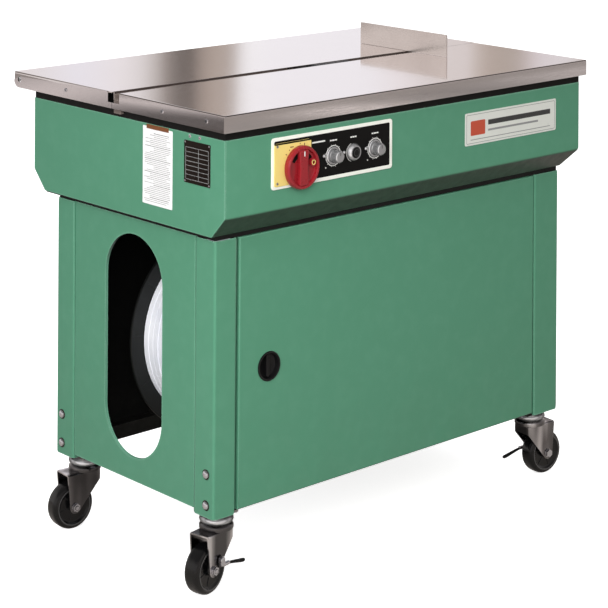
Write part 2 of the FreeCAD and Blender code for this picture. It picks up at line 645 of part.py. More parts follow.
# Main switch: round handle with a raised grip bar and a small square hole.
node("main_switch_knob", cut(
    fuse(lathe(SWITCH_OUTLINE, "Y", "-switch_x", f"{FACE} - 35", "switch_z"),
         box("-switch_x - 8", "8 - switch_x", f"{FACE} - 35", f"{FACE} - 16",
             "switch_z - 33", "switch_z + 33")),
    box("-switch_x + 19", "-switch_x + 25", f"{FACE} - 24", f"{FACE} - 2",
        "switch_z + 6", "switch_z + 13")))
for label, outline, x, reach in (
    ("feed_knob", DIAL_OUTLINE, "-feed_dial", 18.5),
    ("tension_knob", DIAL_OUTLINE, "-tension_dial", 18.5),
    ("reset_button", BUTTON_OUTLINE, "-reset_button", 10),
):
    node(label, lathe(outline, "Y", x, f"{FACE} - {reach}", "dial_z"))

# Labels: thin blank plates, two on the left end and one on the front.
LABEL_X = ("-housing_left - label_thick", "-housing_left")
node("instruction_label", box(*LABEL_X, -136, -58, 613, 742))
node("data_plate", box(*LABEL_X, -232, -166, 665, 734))
node("name_label", box(123.5, 370.5, f"{FACE} - label_thick", FACE, 665, 723))

# ================================================================ post bolts
BOLTS_Y = (-211, 181)
BOLTS_Z = (198, 148)


def bolt_head(side, y, z):
    """A domed head on the left or right end of the cabinet: a short cylinder and a cone."""
    if side < 0:
        face = "-cabinet_left"
        rim = f"{face} - bolt_high*0.45"
        return fuse(cylinder("X", "bolt_radius", rim, face, y, z),
                    cone("X", "bolt_radius*0.55", "bolt_radius", f"{face} - bolt_high", rim, y, z))
    face = "cabinet_right"
    rim = f"{face} + bolt_high*0.45"
    return fuse(cylinder("X", "bolt_radius", face, rim, y, z),
                cone("X", "bolt_radius", "bolt_radius*0.55", rim, f"{face} + bolt_high", y, z))


node("panel_screws", group(*[
    bolt_head(side, y, z) for y in BOLTS_Y for z in BOLTS_Z for side in SIDES]))

# ================================================================ strapping head
HEAD_X = ("-head_left", "head_right")
HEAD_INSIDE = ("-head_front", "head_rear")
HEATER_AT = ("heater_x", "heater_y")
SHAFT_BORES = (  # radius, x, z
    ("cam_shaft", 0, "cam_z"), ("feed_shaft", "feed_x", "feed_z"),
    ("pinch_shaft", "feed_x", "pinch_z"))
node("head_frame", cut(
    fuse(
        # two side plates and the base between them
        box(*HEAD_X, "-head_front - plate_thick", "-head_front", BED_TOP, "head_top"),
        box(*HEAD_X, "head_rear", "head_rear + plate_thick", BED_TOP, "head_top"),
        box(*HEAD_X, *HEAD_INSIDE, BED_TOP, f"{BED_TOP} + 8"),
        # gripper block
        box(-27, 23, *HEAD_INSIDE, 700, 735),
        # heater pivot bracket and pin
        box(62, 78, 15, "head_rear", 728, "head_top"),
        cylinder("Z", "heater_pin", "head_top - 1", 762, *HEATER_AT),
        # upright and the bar it carries in the slot
        box(104, 114, *HEAD_INSIDE, "head_top - 2", 773.5),
        box(28, 114, *TRACK_Y, 770, "table_top - track_drop"),
    ),
    box(*HEAD_OPENING, "cabinet_top", f"{BED_TOP} + 9"),
    box("-gripper_left - gripper_gap", "gripper_right + gripper_gap",
        "-gripper_front - gripper_gap", "gripper_rear + gripper_gap", 695, 740),
    *[cylinder("Y", f"{radius} + run_gap", -40, 50, x, z) for radius, x, z in SHAFT_BORES],
))


def pulley(radius, x, z, *bores):
    """A flanged pulley with a belt groove; radius is the bottom of the groove."""
    return cut(
        cylinder("Y", f"{radius} + pulley_flange", 58, 74, x, z),
        cut(cylinder("Y", f"{radius} + 5", 60, 72, x, z), cylinder("Y", radius, 59, 73, x, z)),
        *bores)


CAMS = ((4, "cam_z", -20, -10), (0, "cam_z - 4", 0, 10), (-4, "cam_z", 20, 30))  # x, z, y0, y1
node("cam_shaft", fuse(
    cylinder("Y", "cam_shaft", -44, 74, 0, "cam_z"),
    *[cylinder("Y", "cam_radius", y0, y1, x, z) for x, z, y0, y1 in CAMS],
    pulley("pulley_large", 0, "cam_z"),
))
node("strap_gripper", box("-gripper_left", "gripper_right", "-gripper_front", "gripper_rear",
                          669, 772))
node("heater_arm", cut(
    # hub, arm and blade
    fuse(cylinder("Z", 9, 748, 758, *HEATER_AT),
         box(20, "heater_x", "heater_y - 5", "heater_y + 5", 749, 757),
         box(8.5, 24, 16, 29, 752, 754.5)),
    cylinder("Z", "heater_pin + run_gap", 740, 770, *HEATER_AT)))
node("feed_roller", fuse(cylinder("Y", "feed_shaft", -42, 60, "feed_x", "feed_z"),
                         cylinder("Y", "feed_radius", -15, 25, "feed_x", "feed_z")))
node("pinch_roller", fuse(cylinder("Y", "pinch_shaft", -41, 51, "feed_x", "pinch_z"),
                          cylinder("Y", "pinch_radius", -15, 25, "feed_x", "pinch_z")))

MOTOR_AT = ("motor_x", "motor_z")
node("gear_motor", fuse(
    # motor barrel and its smaller front cap
    cylinder("Y", "motor_radius", -105, 20, *MOTOR_AT),
    cylinder("Y", "motor_radius - 6", -118, -105, *MOTOR_AT),
    # block behind the barrel, foot under it and box on top
    box("motor_x - 46", "motor_x + 46", 20, 48, BED_TOP, "motor_z + 52"),
    box("motor_x - 40", "motor_x + 40", -95, 20, BED_TOP, "motor_z - 30"),
    box("motor_x - 32", "motor_x + 32", -70, -10, "motor_z + 30", "motor_z + 68"),
    cylinder("Y", "motor_shaft", 48, 76, *MOTOR_AT),
))
node("motor_pulley", pulley("pulley_small", *MOTOR_AT,
                            cylinder("Y", "motor_shaft + run_gap", 50, 80, *MOTOR_AT)))

BELT_FRONT, BELT_WIDE, BELT_GAP = 61, 10, 0.3


def belt_solid(extra):
    """The solid inside an outline round both pulleys, standing off them by extra."""
    cam_radius = DIMENSIONS["pulley_large"] + extra
    motor_radius = DIMENSIONS["pulley_small"] + extra
    cam = FreeCAD.Vector(0, BELT_FRONT, DIMENSIONS["cam_z"])
    motor = FreeCAD.Vector(DIMENSIONS["motor_x"], BELT_FRONT, DIMENSIONS["motor_z"])
    run = motor - cam
    slope = math.atan2(run.z, run.x)
    spread = math.acos((cam_radius - motor_radius) / run.Length)

    def rim(centre, radius, angle):
        return centre + FreeCAD.Vector(radius * math.cos(angle), 0, radius * math.sin(angle))

    cam_upper, cam_far, cam_lower = [
        rim(cam, cam_radius, angle) for angle in (slope + spread, slope + math.pi, slope - spread)]
    motor_upper, motor_far, motor_lower = [
        rim(motor, motor_radius, angle) for angle in (slope + spread, slope, slope - spread)]
    outline = Part.Wire([
        Part.makeLine(cam_upper, motor_upper),
        Part.Arc(motor_upper, motor_far, motor_lower).toShape(),
        Part.makeLine(motor_lower, cam_lower),
        Part.Arc(cam_lower, cam_far, cam_upper).toShape(),
    ])
    return Part.Face(outline).extrude(FreeCAD.Vector(0, BELT_WIDE, 0))


belt = doc.addObject("Part::Feature", "belt")
belt.Shape = belt_solid(BELT_GAP + DIMENSIONS["belt_thick"]).cut(belt_solid(BELT_GAP))
node("drive_belt", belt)

# Open-topped strap pool box, with openings in its floor and rear wall.
node("pool_box", cut(
    box("-pool_left", "-pool_right", "-pool_front", "pool_rear", BED_TOP, "pool_top"),
    box("pool_skin - pool_left", "-pool_right - pool_skin", "pool_skin - pool_front",
        "pool_rear - pool_skin", f"{BED_TOP} + pool_skin", "pool_top + 4"),
    box(-390, -160, -8, 18, "cabinet_top", f"{BED_TOP} + 5"),
    box(-380, -170, 20, 30, 620, 715)))

# Electrical box: a tray open to the rear, closed by a back plate.
ELECTRIC_X = ("electric_left + electric_skin", "electric_right - electric_skin")
ELECTRIC_BASE = f"{BED_TOP} + electric_lift"
ELECTRIC_Z = (f"{ELECTRIC_BASE} + electric_skin", "electric_top - electric_skin")
node("electrical_box", fuse(
    cut(box("electric_left", "electric_right", "-electric_front", "-electric_rear",
            ELECTRIC_BASE, "electric_top"),
        box(*ELECTRIC_X, "electric_skin - electric_front", "2 - electric_rear", *ELECTRIC_Z)),
    box(*ELECTRIC_X, "-electric_rear - electric_back", "-electric_rear", *ELECTRIC_Z),
))

# ================================================================ strap reel in the cabinet
# Turned outlines: radius, distance behind the front of the piece.
GUIDE_OUTLINE = [
    (0, 0), ("guide_pin", 0), ("guide_pin", 10), (20, 10), (20, 14), (18, 16), (18, 94),
    (20, 96), (20, 100), ("guide_pin", 100), ("guide_pin", 114), (0, 114)]
DISC_BORE = "axle_radius + disc_bore_gap"
DISC_OUTLINE = [
    (DISC_BORE, 0), ("reel_disc", 0), ("reel_disc", "disc_thick"), (DISC_BORE, "disc_thick")]
REEL_BORE = "axle_radius + run_gap"
REEL_LONG = "reel_front + reel_rear"
DRUM_OUTLINE = [
    (REEL_BORE, 0), ("reel_drum", 0), ("reel_drum", REEL_LONG), (REEL_BORE, REEL_LONG),
    (REEL_BORE, f"{REEL_LONG} - hub_long"), (DISC_BORE, f"{REEL_LONG} - hub_long"),
    (DISC_BORE, f"{REEL_LONG} - 5"), ("reel_drum - drum_skin", f"{REEL_LONG} - 5"),
    ("reel_drum - drum_skin", 5), (DISC_BORE, 5), (DISC_BORE, "hub_long"),
    (REEL_BORE, "hub_long")]
COIL_OUTLINE = [
    ("reel_drum", 0.5), ("coil_radius", 0.5),
    ("coil_radius", f"{REEL_LONG} - 0.5"), ("reel_drum", f"{REEL_LONG} - 0.5")]
REEL_AT = ("-reel_x", "reel_z")

node("guide_roller", lathe(GUIDE_OUTLINE, "Y", "-guide_x", LUGS_Y[0][0], "guide_z"))
# Stand: upright, foot on the rails and a rib behind.
node("reel_stand", cut(
    fuse(box("-reel_x - 30", "30 - reel_x", 96, 126, RAIL_TOP, "reel_z + 34"),
         box("-reel_x - 60", "60 - reel_x", 96, "rail_rear", RAIL_TOP, f"{RAIL_TOP} + 6"),
         box("-reel_x - 4", "4 - reel_x", 126, 184, f"{RAIL_TOP} + 6", 230)),
    cylinder("Y", "axle_radius", 90, 130, *REEL_AT)))
node("reel_axle", fuse(
    cylinder("Y", "axle_radius", "-reel_front - 14", 126, *REEL_AT),
    cylinder("Y", "collar_radius", "-reel_front - 26", "-reel_front - 7", *REEL_AT),
    cylinder("Y", "collar_radius", "reel_rear + 8", 96, *REEL_AT)))


def reel_side(y):
    disc = lathe(DISC_OUTLINE, "Y", "-reel_x", y, "reel_z")
    return round_hole_pattern(disc, "disc_hole", "disc_pitch", 6, "disc_thick")


node("reel_spool", group(
    reel_side("-reel_front - disc_thick"), reel_side("reel_rear"),
    lathe(DRUM_OUTLINE, "Y", "-reel_x", "-reel_front", "reel_z")))
node("strap_coil", lathe(COIL_OUTLINE, "Y", "-reel_x", "-reel_front", "reel_z"))

# ================================================================ power cord on the back
CORD_RADIUS = 4.2
CORD_PATH = [  # x, y, z
    (CORD_X, 200, CORD_Z), (300, 226, 262), (299, 238, 225), (292, 236, 175),
    (262, 232, 142), (222, 230, 150), (204, 228, 195), (202, 226, 250)]
spine = Part.BSplineCurve()
spine.interpolate([FreeCAD.Vector(*point) for point in CORD_PATH])
spine_edge = spine.toShape()
start_tangent = spine_edge.tangentAt(spine_edge.FirstParameter)
ring = Part.Wire(Part.makeCircle(CORD_RADIUS, FreeCAD.Vector(*CORD_PATH[0]), start_tangent))
cord_shape = Part.Wire(spine_edge).makePipeShell([ring], True, True)
for addition in (
    # gland through the rear panel and its outer collar: radius, length
    Part.makeCylinder(9, 12, FreeCAD.Vector(CORD_X, 190.5, CORD_Z), FreeCAD.Vector(0, 1, 0)),
    Part.makeCylinder(14, 6, FreeCAD.Vector(CORD_X, 198, CORD_Z), FreeCAD.Vector(0, 1, 0)),
    # block at the cord's free end and the bar from it to the panel: x, y, z sizes
    Part.makeBox(34, 26, 38, FreeCAD.Vector(185, 213, 248)),
    Part.makeBox(34, 18, 8, FreeCAD.Vector(185, 197.6, 262)),
):
    cord_shape = cord_shape.fuse(addition)
cord = doc.addObject("Part::Feature", "cord")
cord.Shape = cord_shape
node("power_cord", cord)

# ================================================================ casters
CASTERS = {  # x, y of the swivel axis, angle of the wheel about it
    "front_left": ("-caster_left", "-caster_front", 192.0),
    "rear_left": ("-caster_left", "caster_rear", 175.0),
    "front_right": ("caster_right", "-caster_front", -5.0),
    "rear_right": ("caster_right", "caster_rear", -12.0),
}
# Turned outlines: radius, distance along the axis.
KING_OUTLINE = [
    (0, 0), (9, 0), (9, 3.9), ("king_pin", 3.9), ("king_pin", 19), ("race_radius - 1", 19),
    ("race_radius", 22), ("race_radius - 4", 29), ("race_radius - 8", 33), (0, 33)]
KING_BORE = "king_pin + run_gap"
RACE_OUTLINE = [
    (KING_BORE, 0), ("race_radius - 1", 0), ("race_radius", 3), ("race_radius", 9),
    ("race_radius - 4", 14), (KING_BORE, 14)]
WHEEL_BORE = "axle_pin + run_gap"
WHEEL_OUTLINE = [
    (WHEEL_BORE, 0), (9, 0), (9, 2), (28, 3.5), (31, 1), ("wheel_radius - 3", 0.6),
    ("wheel_radius - 0.8", 3), ("wheel_radius", 7), ("wheel_radius", 23),
    ("wheel_radius - 0.8", 27), ("wheel_radius - 3", 29.4), (31, 29), (28, 26.5), (9, 28),
    (9, "2*wheel_half"), (WHEEL_BORE, "2*wheel_half")]
WHEEL_AT = ("trail", "wheel_radius")
FORK_OUTER = "fork_inner + fork_skin"
FORK_OUTER_MINUS = "-fork_inner - fork_skin"
BRAKE_AT = ("brake_x", "brake_z + brake_rise")


def caster_mount(x, y):
    """Fixed top half of a caster: square plate, upper race and king pin."""
    return fuse(
        box(f"{x} - mount_half", f"{x} + mount_half", f"{y} - mount_half", f"{y} + mount_half",
            "mount_low", "cabinet_base"),
        lathe(KING_OUTLINE, "Z", x, y, "king_low"))


# The swivelling pieces are made with the swivel axis at the origin and the wheel towards +X.
def fork(has_brake):
    """Lower race, crown, back plate and two tapering legs, with a brake stub if asked for."""
    parts = [
        lathe(RACE_OUTLINE, "Z", 0, 0, "race_low"),
        cut(box("-fork_back", "fork_nose", FORK_OUTER_MINUS, FORK_OUTER, "race_low", "fork_top"),
            cylinder("Z", KING_BORE, 90, 100, 0, 0)),
        box("-fork_back", "fork_skin - fork_back", FORK_OUTER_MINUS, FORK_OUTER,
            80, "fork_top"),
    ]
    for y in ((FORK_OUTER_MINUS, "-fork_inner"), ("fork_inner", FORK_OUTER)):
        parts.append(wedge(("trail - 9", "trail + 9", *y), ("-fork_back", "fork_nose", *y),
                           "wheel_radius", "fork_top"))
        parts.append(cylinder("Y", 11, *y, *WHEEL_AT))
    if has_brake:
        parts.append(cylinder("Y", "brake_pin", "fork_inner + 1", f"{FORK_OUTER} + 7", *BRAKE_AT))
        parts.append(cylinder("Y", 5, f"{FORK_OUTER} + 6.6", f"{FORK_OUTER} + 8", *BRAKE_AT))
    return cut(fuse(*parts), cylinder("Y", "axle_pin", -30, 30, *WHEEL_AT))


def wheel():
    return lathe(WHEEL_OUTLINE, "Y", "trail", "-wheel_half", "wheel_radius")


def axle():
    """Pin with a head outside each leg."""
    return fuse(
        cylinder("Y", "axle_pin", f"{FORK_OUTER_MINUS} - 1", f"{FORK_OUTER} + 6", *WHEEL_AT),
        cylinder("Y", 7, f"{FORK_OUTER_MINUS} - 4.5", FORK_OUTER_MINUS, *WHEEL_AT),
        cylinder("Y", 6.5, FORK_OUTER, f"{FORK_OUTER} + 4.5", *WHEEL_AT))


def brake():
    """Round lever with a flattened thumb end, turning on a stub outside the fork leg."""
    lever_y = (f"{FORK_OUTER} + 0.5", f"{FORK_OUTER} + 6.5")
    rod = cylinder("X", 2.8, -36, 12, f"{FORK_OUTER} + 3.5", "brake_z")
    return cut(
        fuse(cylinder("Y", 8, *lever_y, *BRAKE_AT),
             box(9, 18, *lever_y, "brake_z - 2.5", "brake_z + brake_rise"),
             rod,
             box(-46, -28, *lever_y, "brake_z - 3", "brake_z + 2")),
        cylinder("Y", "brake_pin + run_gap", 10, 30, *BRAKE_AT))


def set_caster(piece, x, y, angle):
    """Turns a caster piece about its swivel axis and puts it in place."""
    holder = group(piece)
    rotate(holder, FreeCAD.Rotation(FreeCAD.Vector(0, 0, 1), angle))
    place(holder, x, y, 0)
    return holder


node("caster_mounts", group(*[caster_mount(x, y) for x, y, _ in CASTERS.values()]))
for name, spot in CASTERS.items():
    has_brake = name.startswith("front")
    node("caster_fork_" + name, set_caster(fork(has_brake), *spot))
    node("caster_wheel_" + name, set_caster(wheel(), *spot))
    node("caster_axle_" + name, set_caster(axle(), *spot))
    if has_brake:
        node("caster_brake_" + name, set_caster(brake(), *spot))

# ================================================================ recompute, check, write
doc.recompute()
problems = []
for obj in doc.Objects:
    if "Invalid" in obj.State or "Error" in obj.State:
        problems.append(f"{obj.Name} ({obj.Label}): {obj.State}")
for label, obj in NODES.items():
    if obj.Shape.isNull() or not obj.Shape.isValid() or not obj.Shape.Solids:
        problems.append(f"{label} has no valid solid")
if problems:
    raise RuntimeError("; ".join(problems[:20]))
os.makedirs("parts", exist_ok=True)
for label, obj in NODES.items():
    obj.Shape.exportStep(f"parts/{label}.step")
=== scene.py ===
# Looks for the semi-automatic strapping machine: procedural materials, folded-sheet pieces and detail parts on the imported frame.
import math
import random
import bmesh
import bpy
from mathutils import Matrix, Vector
from mathutils.geometry import tessellate_polygon


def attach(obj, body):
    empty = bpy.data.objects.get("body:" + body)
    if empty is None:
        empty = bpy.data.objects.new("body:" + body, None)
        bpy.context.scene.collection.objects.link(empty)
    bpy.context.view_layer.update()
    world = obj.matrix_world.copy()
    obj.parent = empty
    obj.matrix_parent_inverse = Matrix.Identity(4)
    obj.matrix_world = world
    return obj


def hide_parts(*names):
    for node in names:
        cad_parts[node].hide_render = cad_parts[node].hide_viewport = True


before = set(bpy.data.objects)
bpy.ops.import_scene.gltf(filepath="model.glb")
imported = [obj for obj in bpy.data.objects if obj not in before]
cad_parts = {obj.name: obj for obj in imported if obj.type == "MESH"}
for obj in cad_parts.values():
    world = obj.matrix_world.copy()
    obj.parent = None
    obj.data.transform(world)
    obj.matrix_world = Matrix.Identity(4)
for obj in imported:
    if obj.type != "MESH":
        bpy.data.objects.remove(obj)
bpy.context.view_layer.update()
random.seed(7)
MM = 0.001
scene = bpy.context.scene

# ------------------------------------------------------------------ shader helper
class Mat:
    def __init__(self, name):
        self.m = bpy.data.materials.new("look_" + name)
        self.m.use_nodes = True
        self.t = self.m.node_tree
        self.t.nodes.clear()
        self.out = self.t.nodes.new("ShaderNodeOutputMaterial")
        self.b = self.t.nodes.new("ShaderNodeBsdfPrincipled")
        self.t.links.new(self.b.outputs[0], self.out.inputs[0])
        self.tc = self.t.nodes.new("ShaderNodeTexCoord")

    def set(self, name, v):
        s = self.b.inputs[name]
        if isinstance(v, bpy.types.NodeSocket):
            self.t.links.new(v, s)
        else:
            s.default_value = v
        return self

    def node(self, kind, **props):
        n = self.t.nodes.new("ShaderNode" + kind)
        for k, v in props.items():
            setattr(n, k, v)
        return n

    def put(self, sock, v):
        if isinstance(v, bpy.types.NodeSocket):
            self.t.links.new(v, sock)
        else:
            sock.default_value = v

    def coords(self, sx=1, sy=1, sz=1):
        mp = self.node("Mapping")
        self.t.links.new(self.tc.outputs["Object"], mp.inputs[0])
        mp.inputs["Scale"].default_value = (sx, sy, sz)
        return mp.outputs[0]

    def noise(self, scale, detail=3, rough=0.55, at=None, dist=0.0):
        n = self.node("TexNoise")
        self.put(n.inputs["Vector"], at if at is not None else self.tc.outputs["Object"])
        n.inputs["Scale"].default_value = scale
        n.inputs["Detail"].default_value = detail
        n.inputs["Roughness"].default_value = rough
        n.inputs["Distortion"].default_value = dist
        return n.outputs["Fac"]

    def voronoi(self, scale, at=None, feature="F1"):
        n = self.node("TexVoronoi", feature=feature)
        self.put(n.inputs["Vector"], at if at is not None else self.tc.outputs["Object"])
        n.inputs["Scale"].default_value = scale
        return n.outputs["Distance"]

    def wave(self, scale, axis="X", at=None, dist=0.0, profile="SIN"):
        n = self.node("TexWave", bands_direction=axis, wave_profile=profile)
        self.put(n.inputs["Vector"], at if at is not None else self.tc.outputs["Object"])
        n.inputs["Scale"].default_value = scale
        n.inputs["Distortion"].default_value = dist
        return n.outputs["Fac"]

    def span(self, v, a, b, c=0.0, d=1.0):
        n = self.node("MapRange")
        n.clamp = True
        self.put(n.inputs[0], v)
        for i, x in zip((1, 2, 3, 4), (a, b, c, d)):
            self.put(n.inputs[i], x)
        return n.outputs[0]

    def math(self, op, a, b=0.0):
        n = self.node("Math", operation=op)
        self.put(n.inputs[0], a)
        self.put(n.inputs[1], b)
        return n.outputs[0]

    def mix(self, fac, a, b, mode="MIX"):
        n = self.node("Mix", data_type="RGBA", blend_type=mode)
        self.put(n.inputs[0], fac)
        for s, v in ((n.inputs[6], a), (n.inputs[7], b)):
            self.put(s, v if isinstance(v, bpy.types.NodeSocket) else (*v[:3], 1.0))
        return n.outputs[2]

    def ramp(self, v, stops):
        """A grey ramp: stops are (position, value)."""
        n = self.node("ValToRGB")
        self.put(n.inputs[0], v)
        els = n.color_ramp.elements
        els[0].position, els[0].color = stops[0][0], (*[stops[0][1]] * 3, 1)
        els[1].position, els[1].color = stops[-1][0], (*[stops[-1][1]] * 3, 1)
        for a, g in stops[1:-1]:
            els.new(a).color = (g, g, g, 1)
        return n.outputs[0]

    def sep(self):
        n = self.node("SeparateXYZ")
        self.t.links.new(self.tc.outputs["Object"], n.inputs[0])
        return n.outputs

    def edge(self, radius=0.0015, lo=0.02, hi=0.25):
        """1 on convex and concave edges, 0 on flats."""
        bev = self.node("Bevel", samples=4)
        bev.inputs["Radius"].default_value = radius
        geo = self.node("NewGeometry")
        dot = self.node("VectorMath", operation="DOT_PRODUCT")
        self.t.links.new(bev.outputs[0], dot.inputs[0])
        self.t.links.new(geo.outputs["Normal"], dot.inputs[1])
        return self.span(self.math("SUBTRACT", 1.0, dot.outputs["Value"]), lo, hi)

    def bump(self, h, strength=0.2, dist=0.001, base=None):
        n = self.node("Bump")
        n.inputs["Strength"].default_value = strength
        n.inputs["Distance"].default_value = dist
        self.put(n.inputs["Height"], h)
        if base is not None:
            self.t.links.new(base, n.inputs["Normal"])
        return n.outputs[0]


def lin(r, g, b):
    """sRGB 0-255 to linear."""
    return tuple(((c / 255 + 0.055) / 1.055) ** 2.4 if c > 10 else c / 255 / 12.92 for c in (r, g, b))


def paint(name, rgb, dark, light, rough=0.36, coat=0.15, peel=900, dust=0.10, spec=0.35, under=0.0):
    m = Mat(name)
    big = m.noise(2.3, 4)
    fine = m.noise(38, 3)
    col = m.mix(m.span(big, 0.3, 0.7), rgb, dark)
    col = m.mix(m.math("MULTIPLY", m.span(fine, 0.45, 0.75), 0.05), col, light)
    e = m.edge(0.0040, 0.02, 0.26)
    chips = m.span(m.noise(160, 5, 0.7), 0.55, 0.70)
    # painted highlight: edges and folds are lightened towards the light colour
    col = m.mix(m.math("MULTIPLY", e, 0.50), col, light)
    col = m.mix(m.math("MULTIPLY", m.math("MULTIPLY", e, chips), 0.30), col, (0.42, 0.44, 0.42))
    zz = m.sep()[2]
    grime = m.math("MULTIPLY", m.span(zz, 0.36, 0.10, 0.0, 1.0), m.span(m.noise(14, 5, 0.7), 0.35, 0.75))
    col = m.mix(m.math("MULTIPLY", grime, dust), col, (0.10, 0.10, 0.085))
    if under:
        # painted shade: the faces that look down are darkened towards a dark olive
        nz = m.node("SeparateXYZ")
        m.t.links.new(m.node("NewGeometry").outputs["Normal"], nz.inputs[0])
        col = m.mix(m.math("MULTIPLY", m.span(nz.outputs[2], -0.15, -0.60), under), col, lin(28, 30, 22))
    m.set("Base Color", col)
    m.set("Roughness", m.span(m.noise(60, 4), 0.3, 0.7, rough - 0.06, rough + 0.08))
    m.set("Coat Weight", coat).set("Coat Roughness", 0.20).set("Specular IOR Level", spec)
    m.set("Normal", m.bump(m.noise(peel, 2, 0.5), 0.10, 0.0004, m.bump(m.noise(9, 2), 0.02, 0.003)))
    return m.m


def metal(name, rgb, rough, streak=(1, 1, 1), streak_amount=0.12, blotch=0.15, tint=(0.45, 0.43, 0.40), bump=0.05, edge=0.25, scratch=0.0, fold_dark_reflection=False, body=1.0, er=0.0010, reflection_bands=0.0, reflection_patches=0.0):
    m = Mat(name)
    at = m.coords(*streak)
    s = m.noise(60, 5, 0.65, at)
    s2 = m.noise(14, 3, 0.5, at)
    b = m.noise(7, 4)
    col = m.mix(m.math("MULTIPLY", m.span(b, 0.35, 0.7), blotch), rgb, tint)
    col = m.mix(m.math("MULTIPLY", m.span(s, 0.35, 0.65), streak_amount), col, tuple(c * 0.55 for c in rgb))
    # painted highlight: edges are lightened towards near white
    if edge:
        col = m.mix(m.math("MULTIPLY", m.edge(er, 0.04, 0.3), edge), col, (0.95, 0.95, 0.94))
    # painted reflection: rounded folds tilted between upright and flat are darkened towards brown, the dim room above
    # mirrored as a dark line
    if fold_dark_reflection:
        nz = m.node("SeparateXYZ")
        m.t.links.new(m.node("NewGeometry").outputs["Normal"], nz.inputs[0])
        up = nz.outputs[2]
        dark = m.math("MULTIPLY", m.span(up, 0.12, 0.35), m.span(up, 0.985, 0.93))
        col = m.mix(m.math("MULTIPLY", dark, 0.72), col, lin(92, 74, 62))
    # painted reflections: soft upright patches darken and lighten the metal
    if reflection_patches:
        v = m.noise(26, 1, 0.4, m.coords(1, 1, 0.12))
        col = m.mix(m.math("MULTIPLY", m.span(v, 0.47, 0.60), reflection_patches), col, tuple(c * 0.22 for c in rgb))
        col = m.mix(m.math("MULTIPLY", m.span(v, 0.45, 0.36), reflection_patches), col, tuple(min(1.0, c * 2.3) for c in rgb))
    # painted reflection: bright where a face looks at the camera, dark bands towards its outline
    if reflection_bands:
        facing = m.node("LayerWeight").outputs["Facing"]
        col = m.mix(reflection_bands, col, m.ramp(facing, [(0.0, 1.0), (0.10, 0.86), (0.20, 0.34), (0.32, 0.44), (0.48, 0.20), (0.74, 0.10), (0.90, 0.34), (1.0, 0.55)]), "MULTIPLY")
    m.set("Base Color", col).set("Metallic", body)
    r = m.math("ADD", m.span(s, 0.3, 0.7, -0.06, 0.06), m.span(s2, 0.3, 0.7, rough - 0.04, rough + 0.05))
    if scratch:
        sc = m.span(m.voronoi(30, m.coords(1, 9, 1)), 0.0, 0.02, 1.0, 0.0)
        r = m.math("ADD", r, m.math("MULTIPLY", sc, scratch))
    m.set("Roughness", r)
    m.set("Normal", m.bump(s, bump, 0.0003))
    return m.m


def plastic(name, rgb, rough, grain=700, bump=0.12, vary=0.25, coat=0.0, edge=0.25, spec=0.35, glow=0.0):
    m = Mat(name)
    light = tuple(min(1, c * 1.5 + 0.03) for c in rgb)
    dark = tuple(c * 0.7 for c in rgb)
    col = m.mix(m.span(m.noise(11, 4), 0.3, 0.7), rgb, m.mix(vary, rgb, dark))
    # painted highlight: edges are lightened
    col = m.mix(m.math("MULTIPLY", m.edge(0.0007, 0.03, 0.3), edge), col, light)
    m.set("Base Color", col)
    m.set("Roughness", m.span(m.noise(45, 4), 0.3, 0.7, rough - 0.07, rough + 0.09))
    m.set("Coat Weight", coat).set("Coat Roughness", 0.15).set("Specular IOR Level", spec)
    if glow:
        m.set("Emission Color", col).set("Emission Strength", glow)
    m.set("Normal", m.bump(m.noise(grain, 3, 0.6), bump, 0.0003))
    return m.m


GREEN = lin(84, 145, 117)
M = {}
# the green paint carries painted shade on its downward faces
M["green"] = paint("paint_green", GREEN, lin(82, 143, 114), lin(146, 196, 172), under=0.90)
# painted shade: the inner faces of the cabinet sheets are near black so the interior reads dark
M["inside"] = paint("inside_painted_shade", (0.006, 0.006, 0.006), (0.004, 0.004, 0.004), (0.02, 0.02, 0.019), rough=0.6, coat=0.0, dust=0.1, spec=0.12)
M["frame_black"] = paint("paint_black", (0.006, 0.006, 0.0055), (0.004, 0.004, 0.004), (0.03, 0.03, 0.028), rough=0.5, coat=0.0, dust=0.2, spec=0.15)
M["stainless"] = metal("stainless_brushed", lin(244, 238, 238), 0.085, (2.2, 90, 90), 0.06, 0.05, lin(200, 190, 186), 0.006, 0.5, fold_dark_reflection=True, er=0.0035)
M["stainless_y"] = metal("stainless_brushed_y", lin(226, 216, 211), 0.22, (90, 2.2, 90), 0.10, 0.35, lin(176, 164, 158), 0.02, 0.0, body=0.72)
M["zinc"] = metal("zinc_plate", lin(170, 168, 170), 0.20, (1, 1, 1), 0.14, 0.70, lin(74, 67, 64), 0.02, 0.60, reflection_patches=0.85)
M["bolt"] = metal("zinc_bolt", lin(178, 176, 176), 0.24, (1, 1, 1), 0.10, 0.35, lin(120, 118, 116), 0.02, 0.5)
M["zinc_bright"] = metal("zinc_bright", lin(222, 222, 228), 0.14, (1, 1, 1), 0.08, 0.25, lin(150, 148, 150), 0.015, 0.2)
M["chrome"] = metal("chrome_trim", lin(250, 250, 253), 0.07, (1, 1, 1), 0.05, 0.08, lin(205, 205, 210), 0.01, 0.0, body=0.62, reflection_bands=0.92)
M["steel"] = metal("steel_machined", lin(160, 160, 162), 0.28, (1, 1, 14), 0.2, 0.25, lin(110, 108, 105), 0.05, 0.3)
M["cast"] = paint("cast_grey", lin(70, 74, 78), lin(56, 60, 64), lin(120, 124, 128), rough=0.5, coat=0.0, peel=420, dust=0.3)
M["cast_brown"] = paint("track_brown", lin(112, 100, 95), lin(98, 88, 84), lin(150, 138, 130), rough=0.45, coat=0.0, peel=420, dust=0.2)
M["black_plastic"] = plastic("plastic_black", (0.006, 0.006, 0.0065), 0.36, spec=0.25)
M["panel_black"] = plastic("panel_black_film", (0.004, 0.004, 0.004), 0.34, 1400, 0.04, spec=0.14)
